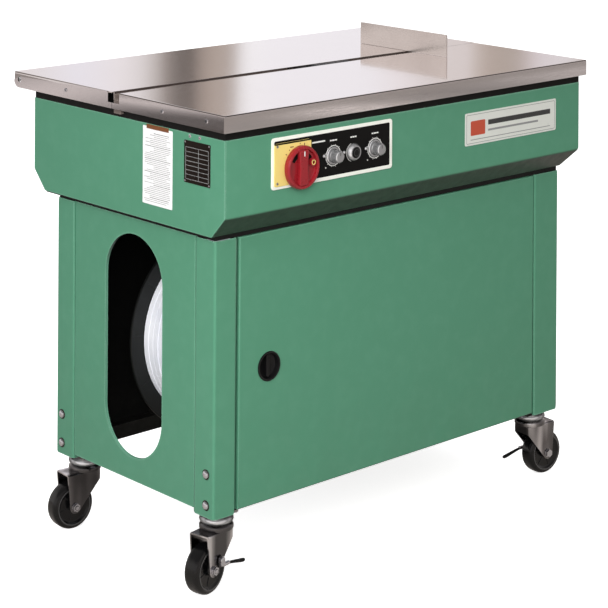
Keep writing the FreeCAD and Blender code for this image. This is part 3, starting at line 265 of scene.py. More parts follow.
M["white_plastic"] = plastic("plastic_white", lin(250, 250, 242), 0.35, 900, 0.06, 0.08, 0.2, 0.1)
M["yellow"] = plastic("plastic_yellow", lin(240, 214, 128), 0.32, 900, 0.05, 0.12, 0.3, 0.15)
M["red"] = plastic("plastic_red", lin(150, 29, 38), 0.28, 800, 0.06, 0.25, 0.5, 0.3)
M["rubber"] = plastic("rubber_black", (0.009, 0.009, 0.009), 0.6, 500, 0.25, 0.3, spec=0.2)
M["wheel"] = plastic("wheel_black", (0.003, 0.003, 0.0033), 0.20, 300, 0.05, 0.3, 0.45, 0.9, spec=0.22)
# painted highlight: a lighter, glossier ring on the wheel faces
M["wheel_highlight_ring"] = plastic("wheel_highlight_ring", (0.05, 0.05, 0.052), 0.18, 300, 0.05, 0.3, 0.8, 0.6, spec=0.6)
M["reel"] = plastic("reel_black", (0.007, 0.008, 0.0075), 0.40, 600, 0.10, 0.3, spec=0.3)
M["ink_grey"] = plastic("ink_grey", lin(150, 150, 150), 0.5, 900, 0.03)
M["ink_white"] = plastic("ink_white", lin(235, 235, 232), 0.45, 900, 0.03, 0.1)
M["ink_dark"] = plastic("ink_dark", lin(60, 60, 60), 0.5, 900, 0.03)
M["ink_black"] = plastic("ink_black", (0.004, 0.0035, 0.0035), 0.5, 900, 0.03, spec=0.1)
M["ink_brown"] = plastic("ink_brown", lin(122, 74, 44), 0.5, 900, 0.03)
M["label_film"] = plastic("label_film", lin(226, 227, 221), 0.34, 800, 0.05, 0.12, 0.1, 0.1)
M["ink_orange"] = plastic("ink_orange", lin(196, 84, 62), 0.42, 900, 0.03, 0.15)
M["green_tab"] = plastic("plastic_green", lin(70, 170, 110), 0.36, 700, 0.06, 0.2)
M["sheet_white"] = plastic("label_sheet", lin(250, 249, 250), 0.40, 800, 0.05, 0.06, 0.1, 0.1)
M["plate_dark"] = metal("plate_dark", lin(52, 44, 42), 0.35, (1, 1, 1), 0.2, 0.3, lin(90, 80, 72), 0.05, 0.3)


def strap_material():
    m = Mat("strap_white")
    at = m.coords(1, 1, 1)
    xs = m.sep()
    wind = m.wave(300, "Y", at, 0.6)
    fine = m.noise(420, 4, 0.6)
    col = m.mix(m.span(m.noise(16, 3), 0.3, 0.7), lin(240, 241, 246), lin(222, 224, 232))
    col = m.mix(m.math("MULTIPLY", m.span(wind, 0.0, 0.25, 1.0, 0.0), 0.14), col, lin(186, 188, 198))
    # painted light: the strap glows faintly in its own colour so the coil reads bright
    m.set("Base Color", col).set("Roughness", m.span(fine, 0.3, 0.7, 0.30, 0.42)).set("Emission Color", col).set("Emission Strength", 0.30)
    m.set("Normal", m.bump(m.math("ADD", wind, m.math("MULTIPLY", fine, 0.4)), 0.35, 0.0006))
    return m.m


M["strap"] = strap_material()

# ------------------------------------------------------------------ mesh helper
def arc2(points, radii, seg=5):
    """A closed 2-D outline with its corners rounded."""
    n = len(points)
    out = []
    for i, (x, y) in enumerate(points):
        r = radii[i] if isinstance(radii, (list, tuple)) else radii
        p, q = Vector(points[i - 1]), Vector(points[(i + 1) % n])
        c = Vector((x, y))
        a, b = (p - c), (q - c)
        la, lb = a.length, b.length
        a, b = a.normalized(), b.normalized()
        cosv = max(-1, min(1, a.dot(b)))
        ang = math.acos(cosv)
        if r <= 1e-9 or ang > math.pi - 1e-3:
            out.append((x, y))
            continue
        d = min(r / math.tan(ang / 2), la * 0.49, lb * 0.49)
        r = d * math.tan(ang / 2)
        s, e = c + a * d, c + b * d
        bis = (a + b).normalized()
        cen = c + bis * (r / math.sin(ang / 2))
        a0 = math.atan2(s.y - cen.y, s.x - cen.x)
        a1 = math.atan2(e.y - cen.y, e.x - cen.x)
        da = (a1 - a0 + math.pi) % (2 * math.pi) - math.pi
        for k in range(seg + 1):
            t = a0 + da * k / seg
            out.append((cen.x + r * math.cos(t), cen.y + r * math.sin(t)))
    return out


def circle2(cx, cy, r, n=48, start=0.0):
    return [(cx + r * math.cos(start + 2 * math.pi * k / n), cy + r * math.sin(start + 2 * math.pi * k / n)) for k in range(n)]


def lift(axis, p, a):
    """2-D point p in the plane across axis, at a along it, as x, y, z."""
    if axis == "X":
        return (a, p[0], p[1])
    if axis == "Y":
        return (p[0], a, p[1])
    return (p[0], p[1], a)


def flat_normals(ob):
    """Keeps flat faces flat beside their rounded folds."""
    w = ob.modifiers.new("normals", "WEIGHTED_NORMAL")
    w.keep_sharp, w.weight, w.mode = True, 50, "FACE_AREA_WITH_ANGLE"


class Piece:
    """Collects solids given in millimetres into one mesh object."""

    def __init__(self, name):
        self.name, self.bm, self.mats = name, bmesh.new(), []
        self.mtx = Matrix.Identity(4)

    def add(self, tmp, mat, mtx=None, inner=None):
        for m in (mat, inner):
            if m and m not in self.mats:
                self.mats.append(m)
        i = self.mats.index(mat)
        for f in tmp.faces:
            f.material_index = self.mats.index(inner) if inner and f.material_index == 1 else i
        bmesh.ops.recalc_face_normals(tmp, faces=tmp.faces)
        if mtx is not None:
            tmp.transform(mtx)
        tmp.transform(self.mtx)
        me = bpy.data.meshes.new("tmp")
        tmp.to_mesh(me)
        self.bm.from_mesh(me)
        bpy.data.meshes.remove(me)
        tmp.free()

    # -- shapes
    def box(self, x0, x1, y0, y1, z0, z1, mat, r=0.5, seg=2, mtx=None, pick=None):
        b = bmesh.new()
        bmesh.ops.create_cube(b, size=1)
        b.transform(Matrix.Translation(((x0 + x1) / 2, (y0 + y1) / 2, (z0 + z1) / 2)) @ Matrix.Diagonal((x1 - x0, y1 - y0, z1 - z0, 1)))
        if r:
            es = [e for e in b.edges if pick is None or pick((e.verts[0].co + e.verts[1].co) / 2)]
            bmesh.ops.bevel(b, geom=es, offset=min(r, 0.45 * min(x1 - x0, y1 - y0, z1 - z0)), segments=seg, profile=0.5, affect="EDGES", clamp_overlap=True)
        self.add(b, mat, mtx)
        return self

    def lathe(self, prof, axis, u, v, a, mat, seg=64, mtx=None, closed=True, rr=0.0):
        """Turned solid: prof is a closed outline of (radius, distance along the axis)."""
        if rr:
            prof = arc2(prof, rr, 3)
        b = bmesh.new()
        rows = []
        for r, t in prof:
            if r < 1e-6:
                rows.append([b.verts.new((0, 0, t))])
            else:
                rows.append([b.verts.new((r * math.cos(2 * math.pi * k / seg), r * math.sin(2 * math.pi * k / seg), t)) for k in range(seg)])
        n = len(rows)
        for i in range(n if closed else n - 1):
            p, q = rows[i], rows[(i + 1) % n]
            if len(p) == 1 and len(q) == 1:
                continue
            for k in range(seg):
                j = (k + 1) % seg
                if len(p) == 1:
                    b.faces.new((p[0], q[k], q[j]))
                elif len(q) == 1:
                    b.faces.new((p[k], q[0], p[j]))
                else:
                    b.faces.new((p[k], q[k], q[j], p[j]))
        rot = {"X": Matrix.Rotation(math.pi / 2, 4, "Y"), "Y": Matrix.Rotation(-math.pi / 2, 4, "X"), "Z": Matrix.Identity(4)}[axis]
        b.transform(rot)
        b.transform(Matrix.Translation({"X": (a, u, v), "Y": (u, a, v), "Z": (u, v, a)}[axis]))
        self.add(b, mat, mtx)
        return self

    def rod(self, axis, r, a0, a1, u, v, mat, ch=0.4, seg=40, bore=0.0, mtx=None):
        n = a1 - a0
        ch = min(ch, n * 0.4, r * 0.4)
        prof = [(bore, 0), (r - ch, 0), (r, ch), (r, n - ch), (r - ch, n), (bore, n)]
        return self.lathe(prof, axis, u, v, a0, mat, seg, mtx)

    def slab(self, axis, outer, holes, a0, a1, mat, r=0.3, seg=2, mtx=None):
        """A flat plate: outline with holes, between a0 and a1 along axis, its rims rounded by r."""
        b = bmesh.new()
        loops = []
        edges = []
        for lp in [outer] + list(holes):
            vs = [b.verts.new(lift(axis, p, a0)) for p in lp]
            loops.append(vs)
            for i in range(len(vs)):
                edges.append(b.edges.new((vs[i], vs[(i + 1) % len(vs)])))
        if holes:
            bmesh.ops.triangle_fill(b, use_beauty=True, use_dissolve=False, edges=edges)
        else:
            b.faces.new(loops[0])
        faces = list(b.faces)
        ret = bmesh.ops.extrude_face_region(b, geom=faces)
        d = Vector(lift(axis, (0, 0), a1 - a0))
        bmesh.ops.translate(b, vec=d, verts=[g for g in ret["geom"] if isinstance(g, bmesh.types.BMVert)])
        bmesh.ops.recalc_face_normals(b, faces=b.faces)
        if r:
            rim = [e for e in b.edges if len(e.link_faces) == 2 and e.calc_face_angle(0) > 0.9 and abs((e.verts[0].co - e.verts[1].co).normalized().dot(d.normalized())) < 0.5]
            bmesh.ops.bevel(b, geom=rim, offset=r, segments=seg, profile=0.5, affect="EDGES", clamp_overlap=True)
        self.add(b, mat, mtx)
        return self

    def sheet(self, faces, thick, mat, bends=(), mtx=None, rim=0.25, inner=None):
        """Folded sheet: faces are outlines of 3-D points (outside surface, shared corners merge), bends is a list of
        (radius, test(mid, direction)); the thickness goes inward, away from the face normals."""
        b = bmesh.new()
        cache = {}

        def v(p):
            k = tuple(round(c, 3) for c in p)
            if k not in cache:
                cache[k] = b.verts.new(p)
            return cache[k]

        for f in faces:
            if isinstance(f, dict):
                es = []
                vs_all = []
                for lp in [f["outer"]] + f["holes"]:
                    vs = [v(p) for p in lp]
                    vs_all += vs
                    for i in range(len(vs)):
                        e = b.edges.get((vs[i], vs[(i + 1) % len(vs)])) or b.edges.new((vs[i], vs[(i + 1) % len(vs)]))
                        es.append(e)
                old = set(b.faces)
                bmesh.ops.triangle_fill(b, use_beauty=True, use_dissolve=False, edges=es, normal=f["normal"])
                want = Vector(f["normal"])
                for nf in set(b.faces) - old:
                    nf.normal_update()
                    if nf.normal.dot(want) < 0:
                        nf.normal_flip()
            else:
                b.faces.new([v(p) for p in f])
        b.normal_update()
        for radius, test in bends:
            es = []
            for e in b.edges:
                if len(e.link_faces) == 2 and e.calc_face_angle(0) > 0.15:
                    mid = (e.verts[0].co + e.verts[1].co) / 2
                    if test(mid, (e.verts[1].co - e.verts[0].co).normalized()):
                        es.append(e)
            if es:
                bmesh.ops.bevel(b, geom=es, offset=radius, segments=4, profile=0.5, affect="EDGES", clamp_overlap=True)
        me = bpy.data.meshes.new("tmp")
        b.to_mesh(me)
        b.free()
        ob = bpy.data.objects.new("tmp", me)
        scene.collection.objects.link(ob)
        mod = ob.modifiers.new("s", "SOLIDIFY")
        mod.thickness, mod.offset, mod.use_even_offset, mod.use_quality_normals = thick, -1.0, True, True
        if inner:
            me.materials.append(M[mat])
            me.materials.append(M[inner])
            mod.material_offset, mod.material_offset_rim = 1, 0
        if rim:
            bv = ob.modifiers.new("b", "BEVEL")
            bv.width, bv.segments, bv.limit_method, bv.angle_limit = rim, 2, "ANGLE", math.radians(50)
        dg = bpy.context.evaluated_depsgraph_get()
        me2 = bpy.data.meshes.new_from_object(ob.evaluated_get(dg))
        t = bmesh.new()
        t.from_mesh(me2)
        bpy.data.objects.remove(ob)
        bpy.data.meshes.remove(me)
        bpy.data.meshes.remove(me2)
        self.add(t, mat, mtx, inner)
        return self

    def tube(self, pts, r, mat, seg=20, mtx=None, cap=True, radii=None):
        """A round bar along a path of points, with flat ends."""
        P = [Vector(p) for p in pts]
        b = bmesh.new()
        rows = []
        up = None
        n = len(P)
        for i, p in enumerate(P):
            d = (P[min(i + 1, n - 1)] - P[max(i - 1, 0)]).normalized()
            if up is None:
                up = Vector((0, 0, 1)) if abs(d.z) < 0.9 else Vector((1, 0, 0))
            s = d.cross(up).normalized()
            up = s.cross(d).normalized()
            rr = radii[i] if radii else r
            rows.append([b.verts.new(p + (s * math.cos(2 * math.pi * k / seg) + up * math.sin(2 * math.pi * k / seg)) * rr) for k in range(seg)])
        for i in range(n - 1):
            for k in range(seg):
                j = (k + 1) % seg
                b.faces.new((rows[i][k], rows[i][j], rows[i + 1][j], rows[i + 1][k]))
        for row in (rows[0], rows[-1]):
            b.faces.new(row if row is rows[-1] else row[::-1])
        self.add(b, mat, mtx)
        return self

    def screw(self, axis, sign, a, u, v, r, h, mat, kind="dome", dark=None, mtx=None):
        """A screw head standing on a face at a along axis, towards sign."""
        if kind == "dome":
            prof = [(0, 0), (r, 0), (r, h * 0.18)] + [(r * math.cos(t), h * 0.18 + h * 0.82 * math.sin(t)) for t in [math.pi / 2 * k / 7 for k in range(1, 7)]] + [(0, h)]
        elif kind == "hex":
            pts = circle2(u, v, r / math.cos(math.pi / 6), 6, math.pi / 6)
            self.slab(axis, pts, [], a, a + sign * h, mat, r * 0.12, 2, mtx)
            return self
        else:
            prof = [(0, 0), (r, 0), (r, h * 0.6), (r * 0.86, h), (r * 0.30, h), (r * 0.24, h * 0.45), (0, h * 0.45)]
        if sign < 0:
            prof = [(p, -t) for p, t in prof]
        self.lathe(prof, axis, u, v, a, mat, 32, mtx)
        if kind == "pan" and dark is not None:
            for ang in (0.4, 0.4 + math.pi / 2):
                c, s = math.cos(ang) * r * 0.55, math.sin(ang) * r * 0.55
                pts = [(u - c - s * 0.14, v - s + c * 0.14), (u + c - s * 0.14, v + s + c * 0.14), (u + c + s * 0.14, v + s - c * 0.14), (u - c + s * 0.14, v - s - c * 0.14)]
                self.slab(axis, pts, [], a + sign * h * 0.9, a + sign * (h + 0.06), dark, 0, 1, mtx)
        return self

    def done(self, body, replaces=(), angle=33):
        me = bpy.data.meshes.new(self.name)
        self.bm.transform(Matrix.Scale(MM, 4))
        self.bm.to_mesh(me)
        self.bm.free()
        me.shade_smooth()
        me.set_sharp_from_angle(angle=math.radians(angle))
        for m in self.mats:
            me.materials.append(M[m])
        ob = bpy.data.objects.new(self.name, me)
        scene.collection.objects.link(ob)
        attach(ob, body)
        flat_normals(ob)
        if replaces:
            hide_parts(*replaces)
        return ob


def keep(node, mat, bevel=0.4, angle=35, seg=2):
    """A CAD node that stays: weld and a small edge radius as modifiers, and its material."""
    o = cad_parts[node]
    o.data.materials.clear()
    o.data.materials.append(M[mat])
    for p in o.data.polygons:
        p.material_index = 0
    if bevel:
        w = o.modifiers.new("weld", "WELD")
        w.merge_threshold = 1e-5
        b = o.modifiers.new("edge", "BEVEL")
        b.width, b.segments, b.limit_method, b.angle_limit = bevel * MM, seg, "ANGLE", math.radians(angle)
        b.harden_normals = False
    return o


def face(points, normal, holes=()):
    return {"outer": list(points), "holes": [list(h) for h in holes], "normal": normal}


ANY = lambda m, d: True

# ================================================================== stainless table
TH, TF, TR, TZ, LO = 447.5, -278.0, 302.0, 788.0, 760.0
p = Piece("front_table_top")
p.sheet([
    face([(-TH, TF, TZ), (TH, TF, TZ), (TH, 4.5, TZ), (312, 4.5, TZ), (312, -5, TZ), (-442, -5, TZ), (-TH, -5, TZ)], (0, 0, 1)),
    face([(-TH, TF, TZ), (TH, TF, TZ), (TH, TF, LO), (-TH, TF, LO)], (0, -1, 0)),
    face([(-TH, TF, TZ), (-TH, TF, LO), (-TH, 14.5, LO), (-TH, 14.5, 770), (-TH, -5, 770), (-TH, -5, TZ)], (-1, 0, 0)),
    face([(TH, TF, TZ), (TH, TF, LO), (TH, 4.5, LO), (TH, 4.5, TZ)], (1, 0, 0)),
    face([(-442, -5, TZ), (312, -5, TZ), (312, -5, 774), (-442, -5, 774)], (0, 1, 0)),
], 2.0, "stainless", [
    (2.6, lambda m, d: (abs(d.z) > 0.9 and m.y < -270) or (m.z > 787 and (abs(m.y - TF) < 1 or abs(abs(m.x) - TH) < 1))),
    (1.2, lambda m, d: m.z > 787.5 and abs(m.y + 5) < 0.2 and abs(d.x) > 0.9),
], rim=0.3)
for y in (-233.0, -120.0):
    p.screw("X", -1, -TH, y, 774, 3.6, 1.3, "zinc_bright", "pan", "ink_dark")
p.screw("X", 1, TH, -233.0, 774, 3.6, 1.3, "zinc_bright", "pan", "ink_dark")
p.done("root", ["front_table_plate"])

p = Piece("rear_table_top")
hole = [(-TH, 285.4 + 5.2 * math.cos(t), 775 + 5.2 * math.sin(t)) for t in [2 * math.pi * k / 24 for k in range(24)]]
end_arc = [(288 + 14 * math.cos(t), 774 + 14 * math.sin(t)) for t in [-math.pi / 2 * (1 - k / 8) for k in range(9)]]
left_out = [(-TH, 15.5, 770), (-TH, 15.5, LO), (-TH, 274, LO)] + [(-TH, y, z) for y, z in end_arc] + [(-TH, TR, TZ), (-TH, 26, TZ), (-TH, 26, 770)]
right_out = [(TH, 5.5, TZ), (TH, 5.5, LO), (TH, 274, LO)] + [(TH, y, z) for y, z in end_arc] + [(TH, TR, TZ)]
p.sheet([
    face([(-TH, 15, TZ), (-442, 15, TZ), (312, 15, TZ), (312, 5.5, TZ), (TH, 5.5, TZ), (TH, TR, TZ), (-TH, TR, TZ), (-TH, 26, TZ)], (0, 0, 1)),
    face([(-TH, TR, TZ), (TH, TR, TZ), (TH, TR, 774), (-TH, TR, 774)], (0, 1, 0)),
    face(left_out, (-1, 0, 0), [hole]),
    face(right_out, (1, 0, 0), [[(TH, y, z) for _, y, z in hole]]),
    face([(-442, 15, TZ), (312, 15, TZ), (312, 15, 774), (-442, 15, 774)], (0, -1, 0)),
], 2.0, "stainless", [
    (2.6, lambda m, d: (abs(d.z) > 0.9 and m.y > 300 and m.z > 774) or (m.z > 787 and (abs(m.y - TR) < 1 or abs(abs(m.x) - TH) < 1) and m.y > 5)),
    (1.2, lambda m, d: m.z > 787.5 and abs(m.y - 15) < 0.2 and abs(d.x) > 0.9),
], rim=0.3)
for s in (-1, 1):
    p.screw("X", s, s * TH, 146.0, 774, 3.6, 1.3, "zinc_bright", "pan", "ink_dark")
p.done("lid", ["rear_table_plate"])

p = Piece("stop_plate")
SX = 264.5
p.sheet([
    face([(SX, y, z) for y, z in arc2([(-89, 788.4), (141, 788.4), (141, 830), (-89, 830)], [0.2, 0.2, 1.6, 1.6], 4)], (-1, 0, 0)),
], 3.0, "stainless_y", [(2.2, ANY)], rim=0.5)
p.slab("Z", arc2([(SX + 1.5, 26), (SX + 28, 26), (SX + 28, 140.5), (SX + 1.5, 140.5)], [0.1, 4, 4, 0.1], 5), [], 788.1, 790.6, "stainless_y", 0.4)
for y in (48, 128):
    p.screw("Z", 1, 790.6, SX + 17, y, 6.0, 3.6, "zinc_bright", "dome")
    p.rod("Z", 7.5, 790.5, 791.4, SX + 17, y, "zinc_bright", 0.2, 32)
p.done("lid", ["package_stop"])

keep("slot_track", "cast_brown", 0.3)
p = Piece("table_ring")
ring = lambda d: [(-437.2 + d, -266.4 + d), (439.2 - d, -266.4 + d), (439.2 - d, 251.6 - d), (-437.2 + d, 251.6 - d)]
p.slab("Z", arc2(ring(0), 2.5, 4), [arc2(ring(20), 3, 4)], 746.2, 759.6, "frame_black", 0.8, 2)
for x, y0, y1 in ((-420, -262, -6), (-420, 17, 247), (424, -262, -6), (424, 17, 247)):
    p.box(x - 6, x + 6, y0, y1, 759.4, 785.8, "frame_black", 1.0, 2)
for y in (-259, 244):
    p.box(-418, 424, y - 2, y + 2, 759.4, 785.8, "frame_black", 1.0, 2)
p.done("root", ["table_frame"])
p = Piece("lid_pin_ends")
for s in (-1, 1):
    p.screw("X", s, s * 446.2, 285.4, 775, 4.0, 1.2, "zinc_bright", "dome")
p.done("root")

# ================================================================== painted housing
HL, HR, HF, HB, HT, HN, H0, HI, HX = -437.5, 439.5, -267.0, 252.0, 746.0, 620.0, 586.0, 32.0, 18.0
fb, rb, xr = HF + HI, HB - HI, HR - HX
p = Piece("housing_body")
p.sheet([
    face([(HL + 2, HF, HN), (HR, HF, HN), (HR, HF, HT), (HL + 2, HF, HT)], (0, -1, 0)),
    face([(HL + 2, HF, HN), (HR, HF, HN), (xr, fb, H0), (HL + 2, fb, H0)], (0, -1, -1)),
    face([(HL + 2, HB, HN), (HR, HB, HN), (HR, HB, HT), (HL + 2, HB, HT)], (0, 1, 0)),
    face([(HL + 2, HB, HN), (HR, HB, HN), (xr, rb, H0), (HL + 2, rb, H0)], (0, 1, -1)),
    face([(HR, HF, HN), (HR, HB, HN), (HR, HB, HT), (HR, HF, HT)], (1, 0, 0)),
    face([(HR, HF, HN), (HR, HB, HN), (xr, rb, H0), (xr, fb, H0)], (1, 0, -1)),
    face([(HL + 2, fb, H0), (xr, fb, H0), (xr, fb + 16, H0), (HL + 2, fb + 16, H0)], (0, 0, -1)),
    face([(HL + 2, rb, H0), (xr, rb, H0), (xr, rb - 16, H0), (HL + 2, rb - 16, H0)], (0, 0, -1)),
    face([(xr, fb + 16, H0), (xr, rb - 16, H0), (xr - 14, rb - 16, H0), (xr - 14, fb + 16, H0)], (0, 0, -1)),
], 2.0, "green", [(3.2, ANY)], rim=0.3)
p.done("root", ["housing_shell"])
p = Piece("housing_end_plate")
hexa = [(HF, HT), (HF, HN), (fb, H0), (rb, H0), (HB, HN), (HB, HT)]
p.slab("X", arc2(hexa, [0.5, 3, 3, 3, 3, 0.5], 5), [], HL, HL + 1.9, "green", 0.9, 3)
for y in (-180.0, -205.0):
    p.screw("X", -1, HL, y, 741.5, 3.2, 1.4, "zinc_bright", "dome")
p.done("root", ["housing_left_end"])

# ================================================================== cabinet
def post_sheet(p, sx, x0, x1, sy):
    """Folded post: face wall on the front or rear (sy -1 or 1), side wall on the left or right (sx), with two inner returns."""
    xo, xi = (x0, x1) if sx < 0 else (x1, x0)
    yo = -230.0 if sy < 0 else 198.0
    yi = yo - sy * 49.5
    z0, z1 = 128.0, 577.0
    q = lambda a, b, c, d, n: face([(a[0], a[1], z0), (b[0], b[1], z0), (b[0], b[1], z1), (a[0], a[1], z1)], n)
    p.sheet([
        q((xo, yo), (xi, yo), 0, 0, (0, sy, 0)),
        q((xo, yo), (xo, yi), 0, 0, (sx, 0, 0)),
        q((xi, yo), (xi, yo - sy * 15), 0, 0, (-sx, 0, 0)),
        q((xo, yi), (xo - sx * 15, yi), 0, 0, (0, -sy, 0)),
    ], 2.0, "green", [(4.2, ANY)], rim=0.25, inner="inside")


for nm, cad, sx, x0, x1, sy in (("post_front_left", "front_left_post", -1, -425.5, -378.5, -1), ("post_front_right", "front_right_post", 1, 356.5, 423.5, -1)):
    p = Piece(nm)
    post_sheet(p, sx, x0, x1, sy)
    p.done("root", [cad])
p = Piece("posts_rear")
post_sheet(p, -1, -425.5, -378.5, 1)
post_sheet(p, 1, 376.5, 423.5, 1)
p.done("root", ["rear_posts"])

WY, WZ, WR, WH = -17.0, 362.0, 77.0, 188.0
stad = [(WY + WR * math.cos(t), WZ + (WH - WR) + WR * math.sin(t)) for t in [math.pi * k / 28 for k in range(29)]]
stad += [(WY + WR * math.cos(t), WZ - (WH - WR) + WR * math.sin(t)) for t in [math.pi + math.pi * k / 28 for k in range(29)]]


def end_panel(name, cad, x, sx, window):
    p = Piece(name)
    y0, y1, z0, z1 = -179.0, 147.5, 135.0, 577.0
    fs = [
        face([(x, y0, z0), (x, y1, z0), (x, y1, z1), (x, y0, z1)], (sx, 0, 0), [[(x, a, b) for a, b in stad]] if window else []),
        face([(x, y0, z0), (x, y0, z1), (x - sx * 12, y0, z1), (x - sx * 12, y0, z0)], (0, -1, 0)),
        face([(x, y1, z0), (x, y1, z1), (x - sx * 12, y1, z1), (x - sx * 12, y1, z0)], (0, 1, 0)),
    ]
    bends = [(2.0, lambda m, d: abs(d.z) > 0.99 and (m.y < y0 + 1 or m.y > y1 - 1))]
    if window:
        n = len(stad)
        for i in range(n):
            (a, b), (c, d) = stad[i], stad[(i + 1) % n]
            fs.append(face([(x, a, b), (x, c, d), (x - sx * 5, c, d), (x - sx * 5, a, b)], (0, WY - (a + c) / 2, max(-1e9, (WZ + max(-(WH - WR), min(WH - WR, (b + d) / 2 - WZ))) - (b + d) / 2))))
        bends.append((1.3, lambda m, d: abs(m.x - x) < 0.01 and y0 + 1 < m.y < y1 - 1 and z0 + 1 < m.z < z1 - 1))
    p.sheet(fs, 1.5, "green", bends, rim=0.25, inner="inside")
    return p.done("root", [cad])


end_panel("end_panel_left", "left_end_panel", -423.6, -1, True)
end_panel("end_panel_right", "right_end_panel", 421.6, 1, False)
p = Piece("rear_cover")
RB = 198.0
louv = [arc2([(x0, 500 - 14 * k), (x0 + 150, 500 - 14 * k), (x0 + 150, 505 - 14 * k), (x0, 505 - 14 * k)], 2.2, 4) for k in range(8) for x0 in (40, 205)]
p.sheet([
    face([(-377, RB, 135), (375, RB, 135), (375, RB, 577), (-377, RB, 577)], (0, 1, 0), [[(x, RB, z) for x, z in h] for h in louv + [circle2(300, 270, 10.0, 32)]]),
    face([(-377, RB, 135), (-377, RB, 577), (-377, RB - 12, 577), (-377, RB - 12, 135)], (-1, 0, 0)),
    face([(375, RB, 135), (375, RB, 577), (375, RB - 12, 577), (375, RB - 12, 135)], (1, 0, 0)),
], 1.5, "green", [(2.0, lambda m, d: abs(d.z) > 0.99 and abs(m.x) > 370)], rim=0.25, inner="inside")
for x0 in (40, 205):
    for k in range(8):
        z = 500 - 14 * k
        p.sheet([
            face([(x0 + 1.5, RB + 0.1, z + 5.6), (x0 + 148.5, RB + 0.1, z + 5.6), (x0 + 146, RB + 4.6, z + 0.6), (x0 + 4, RB + 4.6, z + 0.6)], (0, 1, 1)),
        ], 0.9, "green", [], rim=0.2)
for x in (-362.0, 360.0):
    for z in (150.0, 356.0, 562.0):
        p.screw("Y", 1, RB, x, z, 4.2, 2.2, "bolt", "pan", "ink_dark")
p.done("root", ["rear_panel"])
keep("bottom_rails", "frame_black", 0.8)
keep("machine_bed", "frame_black", 0.5)
p = Piece("bed_gap_seal_shade")
seal = lambda d: [(-423.6 + d, -228.2 + d), (421.6 - d, -228.2 + d), (421.6 - d, 196.2 - d), (-423.6 + d, 196.2 - d)]
# a black rubber seal ring between the cabinet top and the housing foot, also painted shade for the dark line of that
# gap
p.slab("Z", arc2(seal(0), 3.5, 5), [arc2(seal(8.5), 2.5, 4)], 577.3, 585.6, "rubber", 0.5, 2)
# black closing strips out to the foot of the housing, behind and at the left end of the bed; with the ring they make
# the dark shade line of the gap
p.box(-434.8, 421.2, 190.5, 219.4, 583.6, 585.5, "frame_black", 0.3)
p.box(-434.8, -420.0, -226.0, 190.4, 583.6, 585.5, "frame_black", 0.3)
p.done("root")

p = Piece("post_bolts")
for y in (-211.0, 181.0):
    for z in (198.0, 148.0):
        for s, x in ((-1, -425.5), (1, 423.5)):
            p.screw("X", s, x, y, z, 6.6, 4.8, "zinc_bright", "dome")
            # painted shadow: a dark disc behind each bolt head
            p.rod("X", 8.4, min(x, x + s * 0.9), max(x, x + s * 0.9), y, z, "plate_dark", 0.25, 36)
p.done("root", ["panel_screws"])

# ================================================================== front door and its lock
DL, DR, D0, D1, DY = -372.5, 353.5, 133.0, 576.0, -230.0
p = Piece("door_panel")
LX, LZ = -307.5, 354.0
hole = [(x, DY, z) for x, z in circle2(LX, LZ, 22.6, 56)]
dd = 18.0
p.sheet([
    face([(DL, DY, D0), (DR, DY, D0), (DR, DY, D1), (DL, DY, D1)], (0, -1, 0), [hole]),
    face([(DL, DY, D0), (DL, DY, D1), (DL, DY + dd, D1), (DL, DY + dd, D0)], (-1, 0, 0)),
    face([(DR, DY, D0), (DR, DY, D1), (DR, DY + dd, D1), (DR, DY + dd, D0)], (1, 0, 0)),
    face([(DL, DY, D0), (DR, DY, D0), (DR, DY + dd, D0), (DL, DY + dd, D0)], (0, 0, -1)),
    face([(DL, DY, D1), (DR, DY, D1), (DR, DY + dd, D1), (DL, DY + dd, D1)], (0, 0, 1)),
], 2.0, "green", [(2.6, lambda m, d: m.y < DY + 0.5 and not (abs(m.x - LX) < 24 and abs(m.z - LZ) < 24))], rim=0.25)
p.box(-200, 200, -228, -222, 350, 362, "green", 1.0)
p.done("door", ["front_door"])

p = Piece("lock_cup")
p.lathe([(0, 9), (14, 8.6), (19.2, 6.0), (20.4, 1.2), (21.4, -1.6), (23.2, -2.4), (24.5, -1.4), (24.5, -0.2), (22.0, 0), (22.0, 18), (10, 19), (0, 19)], "Y", LX, LZ, DY, "black_plastic", 72)
p.slab("Y", arc2([(LX - 3.6, LZ - 19), (LX + 3.6, LZ - 19), (LX + 3.6, LZ + 19), (LX - 3.6, LZ + 19)], 3, 5), [], DY + 1.6, DY + 10, "black_plastic", 1.2, 3)
p.slab("Y", arc2([(LX - 8, LZ - 84), (LX + 8, LZ - 84), (LX + 8, LZ + 8), (LX - 8, LZ + 8)], 5, 5), [], DY + 19, DY + 22, "zinc", 0.4)
p.screw("Y", 1, DY + 22, LX, LZ, 7, 3.4, "zinc", "hex")
p.done("lock", ["door_lock"])

# ================================================================== control panel
PX0, PX1, PZ0, PZ1 = -339.0, -61.0, 653.0, 737.5
rect = lambda x0, x1, z0, z1: [(x0, z0), (x1, z0), (x1, z1), (x0, z1)]
p = Piece("control_frame")
p.slab("Y", arc2(rect(PX0, PX1, PZ0, PZ1), 5.5, 7), [arc2(rect(PX0 + 6, PX1 - 6, PZ0 + 6, PZ1 - 6), 2.5, 5)], HF - 1.6, HF, "white_plastic", 0.5, 2)
p.done("root", ["control_bezel"])
p = Piece("control_plate")
p.slab("Y", arc2(rect(PX0 + 6.1, PX1 - 6.1, PZ0 + 6.1, PZ1 - 6.1), 2.5, 5), [], HF - 1.2, HF - 0.02, "panel_black", 0.15, 1)
fy = HF - 1.2


def mark(p, pts, mat="ink_white", h=0.18, y=None):
    y = fy if y is None else y
    p.slab("Y", pts, [], y - h, y + 0.05, mat, 0, 1)


